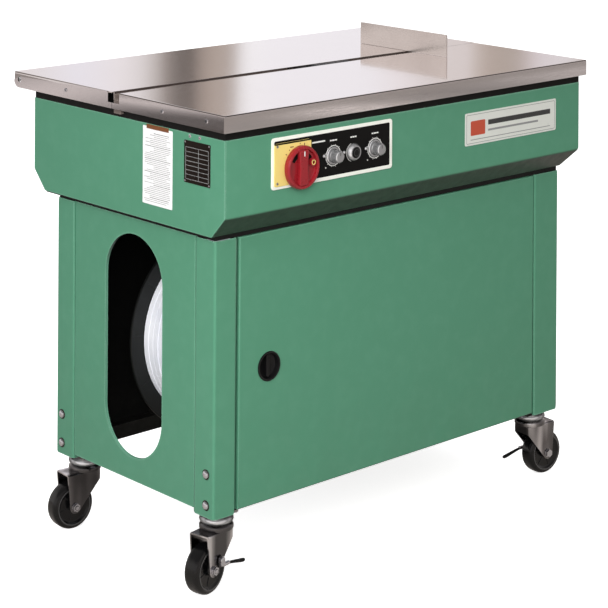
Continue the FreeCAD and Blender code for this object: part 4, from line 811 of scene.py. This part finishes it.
def arc_mark(p, x, z, r0, r1, a0, a1, mat="ink_white", n=26, y=None):
    a0, a1 = math.radians(a0), math.radians(a1)
    pts = [(x + r1 * math.sin(a0 + (a1 - a0) * k / n), z + r1 * math.cos(a0 + (a1 - a0) * k / n)) for k in range(n + 1)]
    pts += [(x + r0 * math.sin(a1 - (a1 - a0) * k / n), z + r0 * math.cos(a1 - (a1 - a0) * k / n)) for k in range(n + 1)]
    mark(p, pts, mat, y=y)


for x in (-200.0, -102.5):
    arc_mark(p, x, 692, 16.2, 17.4, -225, 75)
    for k in range(11):
        t = -225 + 30 * k
        arc_mark(p, x, 692, 18.0, 19.8 if k % 5 == 0 else 19.0, t - 1.4, t + 1.4, n=3)
    arc_mark(p, x - 17.5, 674, 0.0001, 1.2, 0, 359, n=14)
arc_mark(p, -153.5, 692, 15.6, 16.3, 200, 340)
for x, w in ((-200, 8), (-153.5, 7), (-102.5, 8)):
    for a, b in ((-1.0, -0.5), (-0.38, 0.30), (0.42, 1.0)):
        mark(p, rect(x + w * a, x + w * b, 716.6, 718.8), "ink_white")
mark(p, arc2(rect(-249, -219, 718, 720.4), 1.1, 3), "ink_white")
# the bodies of the controls behind the housing wall
p.box(-305.5, -249.5, -263, -217, 656, 712, "black_plastic", 1.5, 2)
for x, ln in ((-200.0, 26), (-153.5, 30), (-102.5, 26)):
    p.rod("Y", 13, -263, -263 + ln, x, 692, "zinc", 0.8)
    for s in (-1, 1):
        p.box(x + s * 5 - 1.2, x + s * 5 + 1.2, -263 + ln, -255 + ln, 688, 696, "zinc_bright", 0.2)
    # the small locking stud beside each control
    p.screw("Y", -1, fy, x - 21.5, 694, 3.1, 2.8, "chrome", "dome")
p.done("root", ["control_face"])

p = Piece("control_collars")
for x in (-200.0, -102.5):
    p.lathe([(11.7, 0), (15.4, 0), (15.4, -1.2), (14.2, -2.3), (11.7, -2.3)], "Y", x, 692, fy, "chrome", 64)
p.lathe([(9.6, 0), (15.0, 0), (15.0, -2.0), (13.6, -5.4), (11.4, -7.2), (9.6, -7.2)], "Y", -153.5, 692, fy, "chrome", 64)
p.done("root")

p = Piece("switch_escutcheon")
p.slab("Y", arc2(rect(-333.5, -252.5, 658, 728), [3, 3, 5, 5], 6), [circle2(-277.5, 684, 12.5, 40)], HF - 3.4, HF - 1.6, "yellow", 0.5, 2)
sy = HF - 3.4
mark(p, arc2(rect(-333.2, -252.8, 725.4, 727.9), [0.3, 0.3, 3, 3], 4), "ink_black", y=sy)
mark(p, rect(-268.6, -266.8, 714.8, 722.6), "ink_brown", y=sy)
mark(p, arc2(rect(-300, -292, 718.2, 719.8), 0.7, 3), "ink_brown", y=sy)
for t in (-52, -38, 0, 90):
    arc_mark(p, -277.5, 684, 37.6, 40.6 if t == -52 else 39.6, t - 1.2, t + 1.2, "ink_brown", 3, sy)
for x, z in ((-328, 723), (-328, 663)):
    p.screw("Y", -1, sy, x, z, 2.3, 1.0, "zinc_bright", "pan", "ink_dark")
p.done("root", ["switch_plate"])

p = Piece("main_switch_handle")
cx, cz = -277.5, 684.0
p.lathe([(0, -7.6), (27.0, -7.6), (29.0, -8.8), (29.6, -12.8), (30.6, -14.2), (33.6, -14.2), (35.2, -12.8), (36.0, -10.5), (36.0, -5.0), (34.5, -4.0), (5, -4.0), (5, 28), (0, 28)], "Y", cx, cz, HF, "red", 96)
grip = arc2([(cx - 11, cz - 29.5), (cx + 11, cz - 29.5), (cx + 8.5, cz), (cx + 11, cz + 29.5), (cx - 11, cz + 29.5), (cx - 8.5, cz)], [4, 4, 30, 4, 4, 30], 6)
p.slab("Y", grip, [], HF - 14.6, HF - 7, "red", 2.0, 4)
p.slab("Y", arc2(rect(cx + 15.5, cx + 26.5, cz + 0.5, cz + 12.5), 3.4, 6), [circle2(cx + 21.0, cz + 6.4, 3.1, 28)], HF - 13.6, HF - 7.2, "red", 0.8, 2)
p.lathe([(3.0, -14.1), (4.3, -14.1), (4.3, -13.4), (3.0, -13.4)], "Y", cx + 21.0, cz + 6.4, HF, "yellow", 32)
p.slab("Y", circle2(cx + 21.0, cz + 6.4, 3.05, 24), [], HF - 9.6, HF - 7.4, "ink_black", 0, 1)
for a0, a1 in ((-62, -24), (24, 58)):
    arc_mark(p, cx, cz, 18.0, 26.4, a0, a1, "ink_black", 14, HF - 7.6)
p.slab("Y", rect(cx - 1.1, cx + 1.1, cz + 19, cz + 27), [], HF - 14.75, HF - 14.4, "ink_white", 0, 1)
for k in range(60):
    t = math.radians(6 * k)
    x, z = cx + 35.8 * math.sin(t), cz + 35.8 * math.cos(t)
    mt = Matrix.Translation((x, 0, z)) @ Matrix.Rotation(t, 4, "Y") @ Matrix.Translation((-x, 0, -z))
    p.box(x - 0.6, x + 0.6, HF - 10.5, HF - 5.6, z - 0.5, z + 0.35, "red", 0.25, 1, mt)
p.done("main_switch", ["main_switch_knob"])


def dial(name, body, cad, x):
    p = Piece(name)
    a = HF - 1.8
    p.lathe([(0, -16.6), (3.0, -17.0), (8.2, -17.0), (9.6, -16.0), (10.0, -13), (10.2, -4.6), (11.0, -3.4), (11.3, -2.4), (11.3, -0.4), (10.8, 0), (3, 0), (3, 22), (0, 22)], "Y", x, 692, a, "chrome", 72)
    for k in range(28):
        t = 2 * math.pi * k / 28
        mt = Matrix.Translation((x, 0, 692)) @ Matrix.Rotation(t, 4, "Y") @ Matrix.Translation((-x, 0, -692))
        p.box(x + 9.5, x + 10.5, a - 14.4, a - 6.0, 691.5, 692.5, "chrome", 0.25, 1, mt)
    p.slab("Y", rect(x - 0.7, x + 0.7, 694, 699.4), [], a - 17.2, a - 16.8, "ink_dark", 0, 1)
    p.done(body, [cad])


dial("dial_feed", "feed_dial", "feed_knob", -200.0)
dial("dial_tension", "tension_dial", "tension_knob", -102.5)
p = Piece("button_reset")
p.lathe([(0, -9.4), (6.4, -9.4), (8.2, -8.6), (9.0, -7.2), (9.0, -2.0), (3.5, -2.0), (3.5, 21), (0, 21)], "Y", -153.5, 692, HF, "black_plastic", 64)
p.lathe([(5.2, -9.7), (6.0, -9.7), (6.0, -9.2), (5.2, -9.2)], "Y", -153.5, 692, HF, "ink_dark", 48)
p.done("reset", ["reset_button"])

# ================================================================== labels, all blank or ruled
p = Piece("maker_label_blank")
p.slab("Y", arc2(rect(123.5, 370.5, 665, 723), 3, 5), [], HF - 0.8, HF, "label_film", 0.2, 1)
p.slab("Y", arc2(rect(127, 367, 668.2, 719.8), 2, 4), [arc2(rect(127.9, 366.1, 669.1, 718.9), 1.4, 4)], HF - 0.9, HF - 0.75, "ink_grey", 0, 1)
mark(p, arc2(rect(138, 176, 682, 708), 2, 4), "ink_orange", 0.12, HF - 0.8)
mark(p, rect(184, 354, 697, 706), "ink_dark", 0.12, HF - 0.8)
mark(p, rect(184, 320, 686, 689.6), "ink_grey", 0.12, HF - 0.8)
mark(p, rect(138, 354, 674, 675.4), "ink_grey", 0.12, HF - 0.8)
p.done("root", ["name_label"])
p = Piece("instruction_sheet")
p.slab("X", arc2([(-136, 613), (-58, 613), (-58, 742), (-136, 742)], 1.5, 3), [], HL - 0.5, HL, "sheet_white", 0.1, 1)
p.slab("X", [(-126, 738.2), (-68, 738.2), (-68, 745.5), (-126, 745.5)], [], HL - 0.9, HL - 0.5, "ink_brown", 0.1, 1)
random.seed(11)
for k in range(38):
    z = 731 - 3.05 * k
    a = -131 + random.choice((0, 0, 0, 4, 10))
    b = -63 - random.choice((0, 2, 6, 14, 24))
    p.slab("X", [(a, z), (b, z), (b, z + 0.8), (a, z + 0.8)], [], HL - 0.6, HL - 0.45, "ink_dark" if k % 7 == 0 else "ink_grey", 0, 1)
p.done("root", ["instruction_label"])
p = Piece("rating_plate_blank")
p.slab("X", arc2([(-232, 665), (-166, 665), (-166, 734), (-232, 734)], 2, 4), [], HL - 0.8, HL, "plate_dark", 0.2, 1)
for k in range(8):
    z = 671 + 7.4 * k
    p.slab("X", [(-228, z), (-170, z), (-170, z + 0.7), (-228, z + 0.7)], [], HL - 0.95, HL - 0.75, "ink_grey", 0, 1)
for y in (-228, -203, -170.7):
    p.slab("X", [(y, 671), (y + 0.7, 671), (y + 0.7, 723.5), (y, 723.5)], [], HL - 0.95, HL - 0.75, "ink_grey", 0, 1)
for y, z in ((-229, 731), (-169, 731), (-229, 668), (-169, 668)):
    p.screw("X", -1, HL - 0.8, y, z, 1.5, 0.7, "zinc_bright", "dome")
p.done("root", ["data_plate"])

# ================================================================== strap reel
RX, RZ = -169.5, 330.0
p = Piece("reel_body")


def flange(p, y0, y1, inner):
    """A moulded disc between y0 and y1 with a rolled rim; inner is the face that looks at the strap."""
    s = 1 if inner == y1 else -1
    out = y0 if s > 0 else y1
    prof = [(22.5, 0), (22.5, -5), (30, -5), (34, -3.6), (92, -3.6), (98, -5), (176, -5), (180, -6.2), (183.5, -6.0), (185, -4.2), (185, -1.0), (183.6, 0.0)]
    p.lathe([(r, (t if s > 0 else -t)) for r, t in prof], "Y", RX, RZ, inner, "reel", 160)
    for k in range(12):
        t = math.radians(30 * k + 4)
        m = Matrix.Translation((RX, 0, RZ)) @ Matrix.Rotation(t, 4, "Y") @ Matrix.Translation((-RX, 0, -RZ))
        lo, hi = (inner - 0.05, inner + 0.45) if s > 0 else (inner - 0.45, inner + 0.05)
        p.box(RX + 158.5, RX + 184, lo, hi, RZ - 1.1, RZ + 1.1, "reel", 0.2, 1, m)
        lo, hi = (out - 1.6, out + 1.6) if True else (0, 0)
        p.box(RX + 36, RX + 176, out + (-1.2 if s > 0 else -0.6), out + (0.6 if s > 0 else 1.2), RZ - 2.2, RZ + 2.2, "reel", 0.7, 1, m)


flange(p, -118.0, -113.0, -113.0)
flange(p, 77.0, 82.0, 77.0)
# drum with the bearing tubes in its ends, made as one turned wall
p.lathe([(15.05, 0), (99.7, 0), (99.7, 190), (15.05, 190), (15.05, 130), (21, 130), (21, 185), (95.5, 185), (95.5, 5), (21, 5), (21, 60), (15.05, 60)], "Y", RX, RZ, -113, "reel", 96)
for y, s in ((-118.0, -1), (82.0, 1)):
    for k in range(6):
        t = math.radians(60 * k + 30)
        p.screw("Y", s, y, RX + 60 * math.cos(t), RZ + 60 * math.sin(t), 5.2, 2.6, "zinc_bright", "dome")
tab = Matrix.Translation((RX, 0, RZ)) @ Matrix.Rotation(math.radians(-131), 4, "Y") @ Matrix.Translation((-RX, 0, -RZ))
p.box(RX + 168, RX + 184.5, 70.5, 77.2, RZ - 7, RZ + 7, "green_tab", 1.0, 2, tab)
p.done("reel", ["reel_spool"])

p = Piece("coil_of_strap")
prof = [(100, 0.6)]
w = 188.8 / 15
for k in range(15):
    a, b = 0.6 + w * k, 0.6 + w * (k + 1)
    r = 157.0 - (0.9 if k in (4, 11) else 0.0) - (0.35 if k % 2 else 0.0)
    prof += [(r - 0.9, a + 0.02), (r, a + 0.7), (r, b - 0.7), (r - 0.9, b - 0.02)]
prof += [(100, 189.4)]
p.lathe(prof, "Y", RX, RZ, -113, "strap", 160)
# the loose end of the strap tucked over the outer layer
tail = []
for k in range(26):
    t = math.radians(62 + 1.6 * k)
    rr = 157.6 + (2.4 * max(0, (8 - k)) / 8.0) ** 1.2
    tail.append((RX + rr * math.cos(t), RZ + rr * math.sin(t)))
back = [(RX + (math.hypot(x - RX, z - RZ) + 0.7) * math.cos(math.atan2(z - RZ, x - RX)), RZ + (math.hypot(x - RX, z - RZ) + 0.7) * math.sin(math.atan2(z - RZ, x - RX))) for x, z in reversed(tail)]
p.slab("Y", tail + back, [], -40, -28, "strap", 0.15, 1)
p.done("reel", ["strap_coil"], 45)

# ================================================================== casters
SPOTS = {"front_left": (-385.0, -190.0, 192.0), "rear_left": (-385.0, 168.0, 175.0), "front_right": (392.0, -190.0, -5.0), "rear_right": (392.0, 168.0, -12.0)}


def spot(name):
    x, y, a = SPOTS[name]
    return Matrix.Translation((x, y, 0)) @ Matrix.Rotation(math.radians(a), 4, "Z")


p = Piece("caster_top_plates")
for name, (x, y, _) in SPOTS.items():
    p.mtx = Matrix.Translation((x, y, 0))
    p.slab("Z", arc2([(-27, -27), (27, -27), (27, 27), (-27, 27)], 5, 5), [], 124.0, 127.9, "zinc", 0.6)
    p.lathe([(6, 109.9), (26.4, 109.9), (27.8, 110.8), (28.5, 113.0), (28.1, 115.6), (26.0, 118.8), (22.0, 121.8), (18.4, 124.2), (6, 124.2)], "Z", 0, 0, 0, "chrome", 72)
    p.lathe([(0, 91), (7.8, 91), (9, 92.2), (9, 94.9), (6, 94.9), (6, 110.2), (0, 110.2)], "Z", 0, 0, 0, "zinc", 40)
    for sx in (-1, 1):
        for sy in (-1, 1):
            p.screw("Z", -1, 124, 22 * sx, 22 * sy, 3.2, 2.0, "zinc_bright", "hex")
p.mtx = Matrix.Identity(4)
p.done("root", ["caster_mounts"])


def cheek():
    """Outline of a fork cheek in the plane of the wheel: wide under the crown, round at the axle."""
    out = [(-21, 98), (-21, 82)]
    cx, cz, r = 30.0, 40.0, 11.0
    px, pz = -21.0, 82.0
    d = math.hypot(px - cx, pz - cz)
    base = math.atan2(pz - cz, px - cx)
    a0 = base + math.acos(r / d)
    a1 = math.atan2(98 - cz, 46 - cx)
    d1 = math.hypot(46 - cx, 98 - cz)
    a1 = a1 - math.acos(r / d1) + 2 * math.pi
    n = 20
    out += [(cx + r * math.cos(a0 + (a1 - a0) * k / n), cz + r * math.sin(a0 + (a1 - a0) * k / n)) for k in range(n + 1)]
    out += [(46, 98)]
    return out


for name in SPOTS:
    with_brake = name.startswith("front")
    p = Piece("caster_yoke_" + name)
    p.mtx = spot(name)
    ch = cheek()
    bore = circle2(30, 40, 4.2, 24)
    fs = [face([(-21, -19.5, 98), (46, -19.5, 98), (46, 19.5, 98), (-21, 19.5, 98)], (0, 0, 1), [[(x, y, 98) for x, y in circle2(0, 0, 6.4, 28)]])]
    for s in (-1, 1):
        fs.append(face([(x, s * 19.5, z) for x, z in ch], (0, s, 0), [[(x, s * 19.5, z) for x, z in bore]]))
    fs.append(face([(-21, -19.5, 98), (-21, 19.5, 98), (-21, 19.5, 82), (-21, -19.5, 82)], (-1, 0, 0)))
    p.sheet(fs, 2.5, "zinc", [(2.8, lambda m, d: (abs(m.z - 98) < 0.1 and (abs(abs(m.y) - 19.5) < 0.1 or abs(m.x + 21) < 0.1)) or (abs(m.x + 21) < 0.1 and abs(d.z) > 0.9))], rim=0.45)
    p.lathe([(6.4, 97.6), (27.8, 97.6), (28.4, 98.6), (28.4, 103.2), (27.4, 105.2), (25.4, 107.6), (23.6, 109.0), (6.4, 109.0)], "Z", 0, 0, 0, "zinc", 72)
    p.lathe([(23.6, 108.2), (25.4, 108.2), (25.4, 109.5), (23.6, 109.5)], "Z", 0, 0, 0, "ink_dark", 60)
    if with_brake:
        p.rod("Y", 3.0, 17.1, 26.7, 16, 54, "zinc", 0.4, 28)
        p.screw("Y", 1, 26.1, 16, 54, 5.2, 2.0, "zinc_bright", "dome")
    p.done("fork_" + name, ["caster_fork_" + name])

    p = Piece("caster_bolt_" + name)
    p.mtx = spot(name)
    p.rod("Y", 4.0, -21.5, 25.5, 30, 40, "zinc_bright", 0.5, 32)
    p.screw("Y", -1, -20.3, 30, 40, 6.4, 4.0, "zinc_bright", "hex")
    p.rod("Y", 7.4, -20.3, -19.5, 30, 40, "zinc_bright", 0.2, 36)
    p.screw("Y", 1, 20.3, 30, 40, 6.2, 4.2, "zinc_bright", "hex")
    p.rod("Y", 7.0, 19.5, 20.4, 30, 40, "zinc_bright", 0.2, 36)
    for k in range(4):
        p.lathe([(3.4, 0), (4.2, 0.35), (3.4, 0.7)], "Y", 30, 40, 24.4 + 0.7 * k - 1.4, "zinc", 24)
    p.done("fork_" + name, ["caster_axle_" + name])

    p = Piece("caster_tyre_" + name)
    p.mtx = spot(name)
    half = [(4.1, 14.9), (8.4, 14.9), (9.2, 14.1), (9.6, 12.1), (13.5, 11.3), (25.5, 11.4), (28.2, 12.3), (29.6, 13.9), (31.0, 14.7), (32.6, 14.9), (33.8, 14.3), (34.4, 13.4), (35.6, 13.2), (37.6, 12.2), (39.2, 10.2), (39.9, 7.0), (40.0, 3.2)]
    p.lathe(half + [(r, -t) for r, t in reversed(half)], "Y", 30, 40, 0, "wheel", 112)
    for s in (-1, 1):
        # painted highlight ring on each wheel face
        lo, hi = sorted((s * 14.7, s * 15.05))
        p.lathe([(30.9, lo), (32.5, lo), (32.5, hi), (30.9, hi)], "Y", 30, 40, 0, "wheel_highlight_ring", 96)
        lo, hi = sorted((s * 14.8, s * 15.25))
        p.lathe([(4.1, lo), (6.4, lo), (6.4, hi), (4.1, hi)], "Y", 30, 40, 0, "zinc", 36)
        for k in range(6):
            t = math.radians(60 * k + 12)
            m = Matrix.Translation((30, 0, 40)) @ Matrix.Rotation(t, 4, "Y") @ Matrix.Translation((-30, 0, -40))
            lo, hi = sorted((s * 10.9, s * 12.4))
            p.box(30 + 10, 30 + 28, lo, hi, 39.0, 41.0, "wheel", 0.6, 2, m)
    p.done("wheel_" + name, ["caster_wheel_" + name], 40)

    if with_brake:
        p = Piece("brake_lever_" + name)
        p.mtx = spot(name)
        p.slab("Y", arc2([(7, 41.6), (19, 41.6), (22, 50), (21, 60), (11, 61), (7, 52)], [3, 3, 4, 5, 5, 3], 5), [circle2(16, 54, 3.2, 24)], 20.1, 22.1, "zinc", 0.5, 2)
        p.slab("Y", arc2([(8.5, 44), (19, 44), (21, 53), (19, 60), (12.5, 60), (9.5, 54)], [2, 2, 4, 4, 4, 4], 5), [circle2(16, 54, 3.2, 24)], 21.9, 25.9, "zinc_bright", 0.7, 2)
        p.box(-5, 13, 20.3, 26.1, 41.4, 47.0, "zinc_bright", 1.8, 3)
        p.tube([(0, 23.0, 43.6), (-6, 23.0, 43.0), (-14, 23.0, 41.6), (-24, 23.0, 39.4), (-36, 23.0, 36.6), (-43, 23.0, 35.4), (-46, 23.0, 35.2)], 3.0, "rubber", 24, radii=[1.9, 2.3, 2.5, 2.8, 3.2, 3.2, 2.0])
        p.tube([(8, 23.0, 44.2), (0, 23.0, 43.8), (-8, 23.0, 42.8)], 1.7, "zinc_bright", 16)
        p.done("brake_" + name, ["caster_brake_" + name])

# ================================================================== what stays from the frame
for n, mat, bv in (
    ("reel_stand", "frame_black", 0.8), ("reel_axle", "steel", 0.6), ("guide_roller", "white_plastic", 0.5), ("feed_roller", "steel", 0.3),
    ("pinch_roller", "rubber", 0.3), ("cam_shaft", "steel", 0.3), ("motor_pulley", "steel", 0.3), ("strap_gripper", "steel", 0.4), ("heater_arm", "steel", 0.3),
    ("head_frame", "cast", 0.6), ("gear_motor", "cast", 0.8), ("pool_box", "zinc", 0.4), ("electrical_box", "zinc", 0.6), ("drive_belt", "rubber", 0.2), ("power_cord", "rubber", 0.0),
):
    keep(n, mat, bv)
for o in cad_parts.values():
    if o.type == "MESH" and not o.hide_render:
        o.data.shade_smooth()
        o.data.set_sharp_from_angle(angle=math.radians(35))
        if o.name != "power_cord":
            flat_normals(o)

# ================================================================== floor, light, camera
me = bpy.data.meshes.new("floor_sheet")
S = 40.0
me.from_pydata([(-S, -S, 0), (S, -S, 0), (S, S, 0), (-S, S, 0)], [], [(0, 1, 2, 3)])
floor = bpy.data.objects.new("floor_sheet", me)
scene.collection.objects.link(floor)
fm = Mat("floor_white")
path = fm.node("LightPath")
tone = fm.mix(fm.span(fm.noise(1.2, 2), 0.3, 0.7), (0.95, 0.95, 0.95), (0.93, 0.93, 0.935))
fx2, fy2 = fm.sep()[0:2]
# painted reflections: patches on the floor that only glossy rays see, a dark card for the table top and bright strips
# where the front and left lips mirror the floor
dark_reflection_card = fm.math("MULTIPLY", fm.span(fy2, 3.48, 3.38), fm.math("MULTIPLY", fm.span(fy2, 2.1, 2.3), fm.math("MULTIPLY", fm.span(fx2, -2.3, -2.5), fm.span(fx2, -4.4, -4.2))))
glint = fm.mix(dark_reflection_card, (0.46, 0.415, 0.385), (0.085, 0.07, 0.058))
front_lip_reflection = fm.ramp(fm.span(fx2, 2.30, 4.60), [(0.0, 0.40), (0.115, 0.42), (0.170, 0.72), (0.220, 1.0), (0.300, 1.0), (0.335, 0.60), (0.376, 0.36), (0.43, 0.46), (0.518, 0.30), (0.592, 0.44), (0.668, 0.50), (0.746, 0.72), (1.0, 0.80)])
left_lip_reflection = fm.ramp(fm.span(fy2, 2.70, 4.40), [(0.0, 0.12), (0.141, 0.20), (0.191, 0.10), (0.241, 0.035), (0.292, 0.10), (0.344, 0.36), (0.398, 0.56), (0.453, 0.60), (0.515, 0.74), (0.571, 0.95), (0.63, 1.0), (0.69, 1.0), (0.75, 0.88), (0.806, 0.74), (0.87, 0.56), (1.0, 0.5)])
beside = fm.math("MULTIPLY", fm.math("MULTIPLY", fm.span(fy2, 2.70, 2.80), fm.span(fy2, 4.8, 4.5)), fm.math("MULTIPLY", fm.span(fx2, -2.3, -2.5), fm.span(fx2, -4.4, -4.2)))
glint = fm.mix(beside, glint, fm.mix(1.0, left_lip_reflection, (1.0, 0.915, 0.885), "MULTIPLY"))
near = fm.math("MULTIPLY", fm.math("MULTIPLY", fm.span(fy2, -3.05, -3.15), fm.span(fy2, -3.75, -3.62)), fm.span(fx2, 1.95, 2.15))
glint = fm.mix(near, glint, fm.mix(1.0, front_lip_reflection, (1.0, 0.925, 0.885), "MULTIPLY"))
dim = fm.mix(path.outputs["Is Glossy Ray"], (0.12, 0.12, 0.115), glint)
fm.set("Base Color", fm.mix(path.outputs["Is Camera Ray"], dim, tone)).set("Roughness", 0.9).set("Specular IOR Level", 0.0)
fm.set("Emission Color", (1.0, 0.997, 0.99, 1.0)).set("Emission Strength", fm.math("MULTIPLY", path.outputs["Is Camera Ray"], 0.72))
me.materials.append(fm.m)

world = bpy.data.worlds.new("studio")
scene.world = world
world.use_nodes = True
wt = world.node_tree
wt.nodes.clear()


def wn(kind, **props):
    n = wt.nodes.new("ShaderNode" + kind)
    for k, v in props.items():
        setattr(n, k, v)
    return n


def wl(a, b):
    wt.links.new(a, b)


def wmath(op, a, b=0.0):
    n = wn("Math", operation=op)
    for s, v in ((n.inputs[0], a), (n.inputs[1], b)):
        if isinstance(v, bpy.types.NodeSocket):
            wl(v, s)
        else:
            s.default_value = v
    return n.outputs[0]


tc = wn("TexCoord")
sepw = wn("SeparateXYZ")
wl(tc.outputs["Generated"], sepw.inputs[0])
# azimuth in degrees away from the direction the camera looks along, positive to its right
fx, fyv = 0.6674, 0.7447
fwd = wmath("ADD", wmath("MULTIPLY", sepw.outputs[0], fx), wmath("MULTIPLY", sepw.outputs[1], fyv))
side = wmath("SUBTRACT", wmath("MULTIPLY", sepw.outputs[0], fyv), wmath("MULTIPLY", sepw.outputs[1], fx))
az = wmath("MULTIPLY", wmath("ARCTAN2", side, fwd), 57.29578)
ramp = wn("ValToRGB")
wl(wmath("ADD", wmath("MULTIPLY", az, 1 / 60.0), 0.5), ramp.inputs[0])
STOPS = [
    (-30, (222, 217, 215)), (-6.65, (221, 216, 216)), (-5.26, (226, 224, 231)), (-4.1, (227, 222, 224)), (-3.5, (214, 209, 209)), (-3.1, (188, 181, 178)), (-2.8, (142, 133, 128)), (-2.45, (107, 100, 96)),
    (-2.08, (106, 98, 94)), (-1.8, (158, 145, 137)), (-1.45, (170, 157, 148)), (-1.0, (168, 156, 149)), (-0.6, (238, 237, 239)), (0.2, (234, 232, 236)), (2.9, (232, 230, 234)), (3.8, (226, 220, 222)),
    (4.6, (212, 205, 204)), (5.3, (208, 200, 198)), (5.64, (210, 202, 201)), (5.93, (189, 178, 171)), (6.22, (174, 161, 153)), (6.9, (170, 159, 151)), (7.15, (175, 164, 159)), (7.4, (197, 187, 186)),
    (7.65, (209, 202, 205)), (8.5, (214, 210, 211)), (8.8, (201, 194, 193)), (9.07, (168, 156, 149)), (9.3, (172, 162, 158)), (30, (190, 184, 182)),
]
els = ramp.color_ramp.elements
els[0].position, els[0].color = 0.0, (*lin(*STOPS[0][1]), 1)
els[1].position, els[1].color = 1.0, (*lin(*STOPS[-1][1]), 1)
for a, v in STOPS[1:-1]:
    e = els.new(a / 60 + 0.5)
    e.color = (*lin(*v), 1)
# overhead the room is dim, so folds and domes carry a dark line
rise = wn("MapRange")
rise.clamp = True
wl(sepw.outputs[2], rise.inputs[0])
for i, v in zip((1, 2, 3, 4), (0.40, 0.62, 1.0, 0.30)):
    rise.inputs[i].default_value = v
dimm = wn("Mix", data_type="RGBA", blend_type="MULTIPLY")
dimm.inputs[0].default_value = 1.0
wl(ramp.outputs[0], dimm.inputs[6])
wl(rise.outputs[0], dimm.inputs[7])
lp = wn("LightPath")
mixw = wn("Mix", data_type="RGBA")
wl(lp.outputs["Is Glossy Ray"], mixw.inputs[0])
mixw.inputs[6].default_value = (0.56, 0.562, 0.57, 1)
wl(dimm.outputs[2], mixw.inputs[7])
mixc = wn("Mix", data_type="RGBA")
wl(lp.outputs["Is Camera Ray"], mixc.inputs[0])
wl(mixw.outputs[2], mixc.inputs[6])
mixc.inputs[7].default_value = (1.0, 0.997, 0.99, 1)
bg = wn("Background")
wl(mixc.outputs[2], bg.inputs[0])
bg.inputs[1].default_value = 1.12
wo = wn("OutputWorld")
wl(bg.outputs[0], wo.inputs[0])


def area(name, at, to, sx, sy, power, color=(1, 1, 1), spread=3.0):
    li = bpy.data.lights.new(name, "AREA")
    li.shape, li.size, li.size_y, li.energy, li.color = "RECTANGLE", sx, sy, power, color
    ob = bpy.data.objects.new(name, li)
    scene.collection.objects.link(ob)
    ob.location = at
    ob.rotation_mode = "QUATERNION"
    ob.rotation_quaternion = (Vector(to) - Vector(at)).to_track_quat("-Z", "Y")
    ob.visible_glossy = False
    return ob


area("key_left", (-2.1, -1.5, 1.5), (-0.2, 0, 0.45), 1.6, 1.6, 66, (1.0, 0.995, 0.98))
area("front_fill", (0.2, -4.0, 2.0), (0, 0, 0.45), 3.0, 1.8, 14, (1.0, 0.985, 0.78))
area("top_soft", (0.3, 0.4, 3.4), (0, 0, 0.6), 3.0, 3.0, 30)

cam_data = bpy.data.cameras.new("camera")
cam = bpy.data.objects.new("camera", cam_data)
scene.collection.objects.link(cam)
cam_data.lens, cam_data.sensor_width = 120.83, 36.0
cam_data.clip_start, cam_data.clip_end = 0.05, 200.0
cam.location = (-2.55444, -2.72578, 1.38426)
cam.rotation_mode = "QUATERNION"
cam.rotation_quaternion = (Matrix.Rotation(-0.730604, 4, "Z") @ Matrix.Rotation(math.pi / 2, 4, "X") @ Matrix.Rotation(0.005911, 4, "Z")).to_quaternion()
scene.camera = cam
# The picture is taken with the lens shifted; the shift holds only where this camera stands, so another viewpoint looks straight ahead.
for prop, v in (("shift_x", 0.0597), ("shift_y", -0.9278)):
    dr = cam_data.driver_add(prop).driver
    dr.type = "SCRIPTED"
    var = dr.variables.new()
    var.name, var.type = "px", "TRANSFORMS"
    var.targets[0].id = cam
    var.targets[0].transform_type, var.targets[0].transform_space = "LOC_X", "WORLD_SPACE"
    dr.expression = "%r if abs(px + 2.55444) < 0.001 else 0.0" % v

scene.view_settings.view_transform = "Standard"
scene.view_settings.look = "None"

bpy.context.view_layer.update()
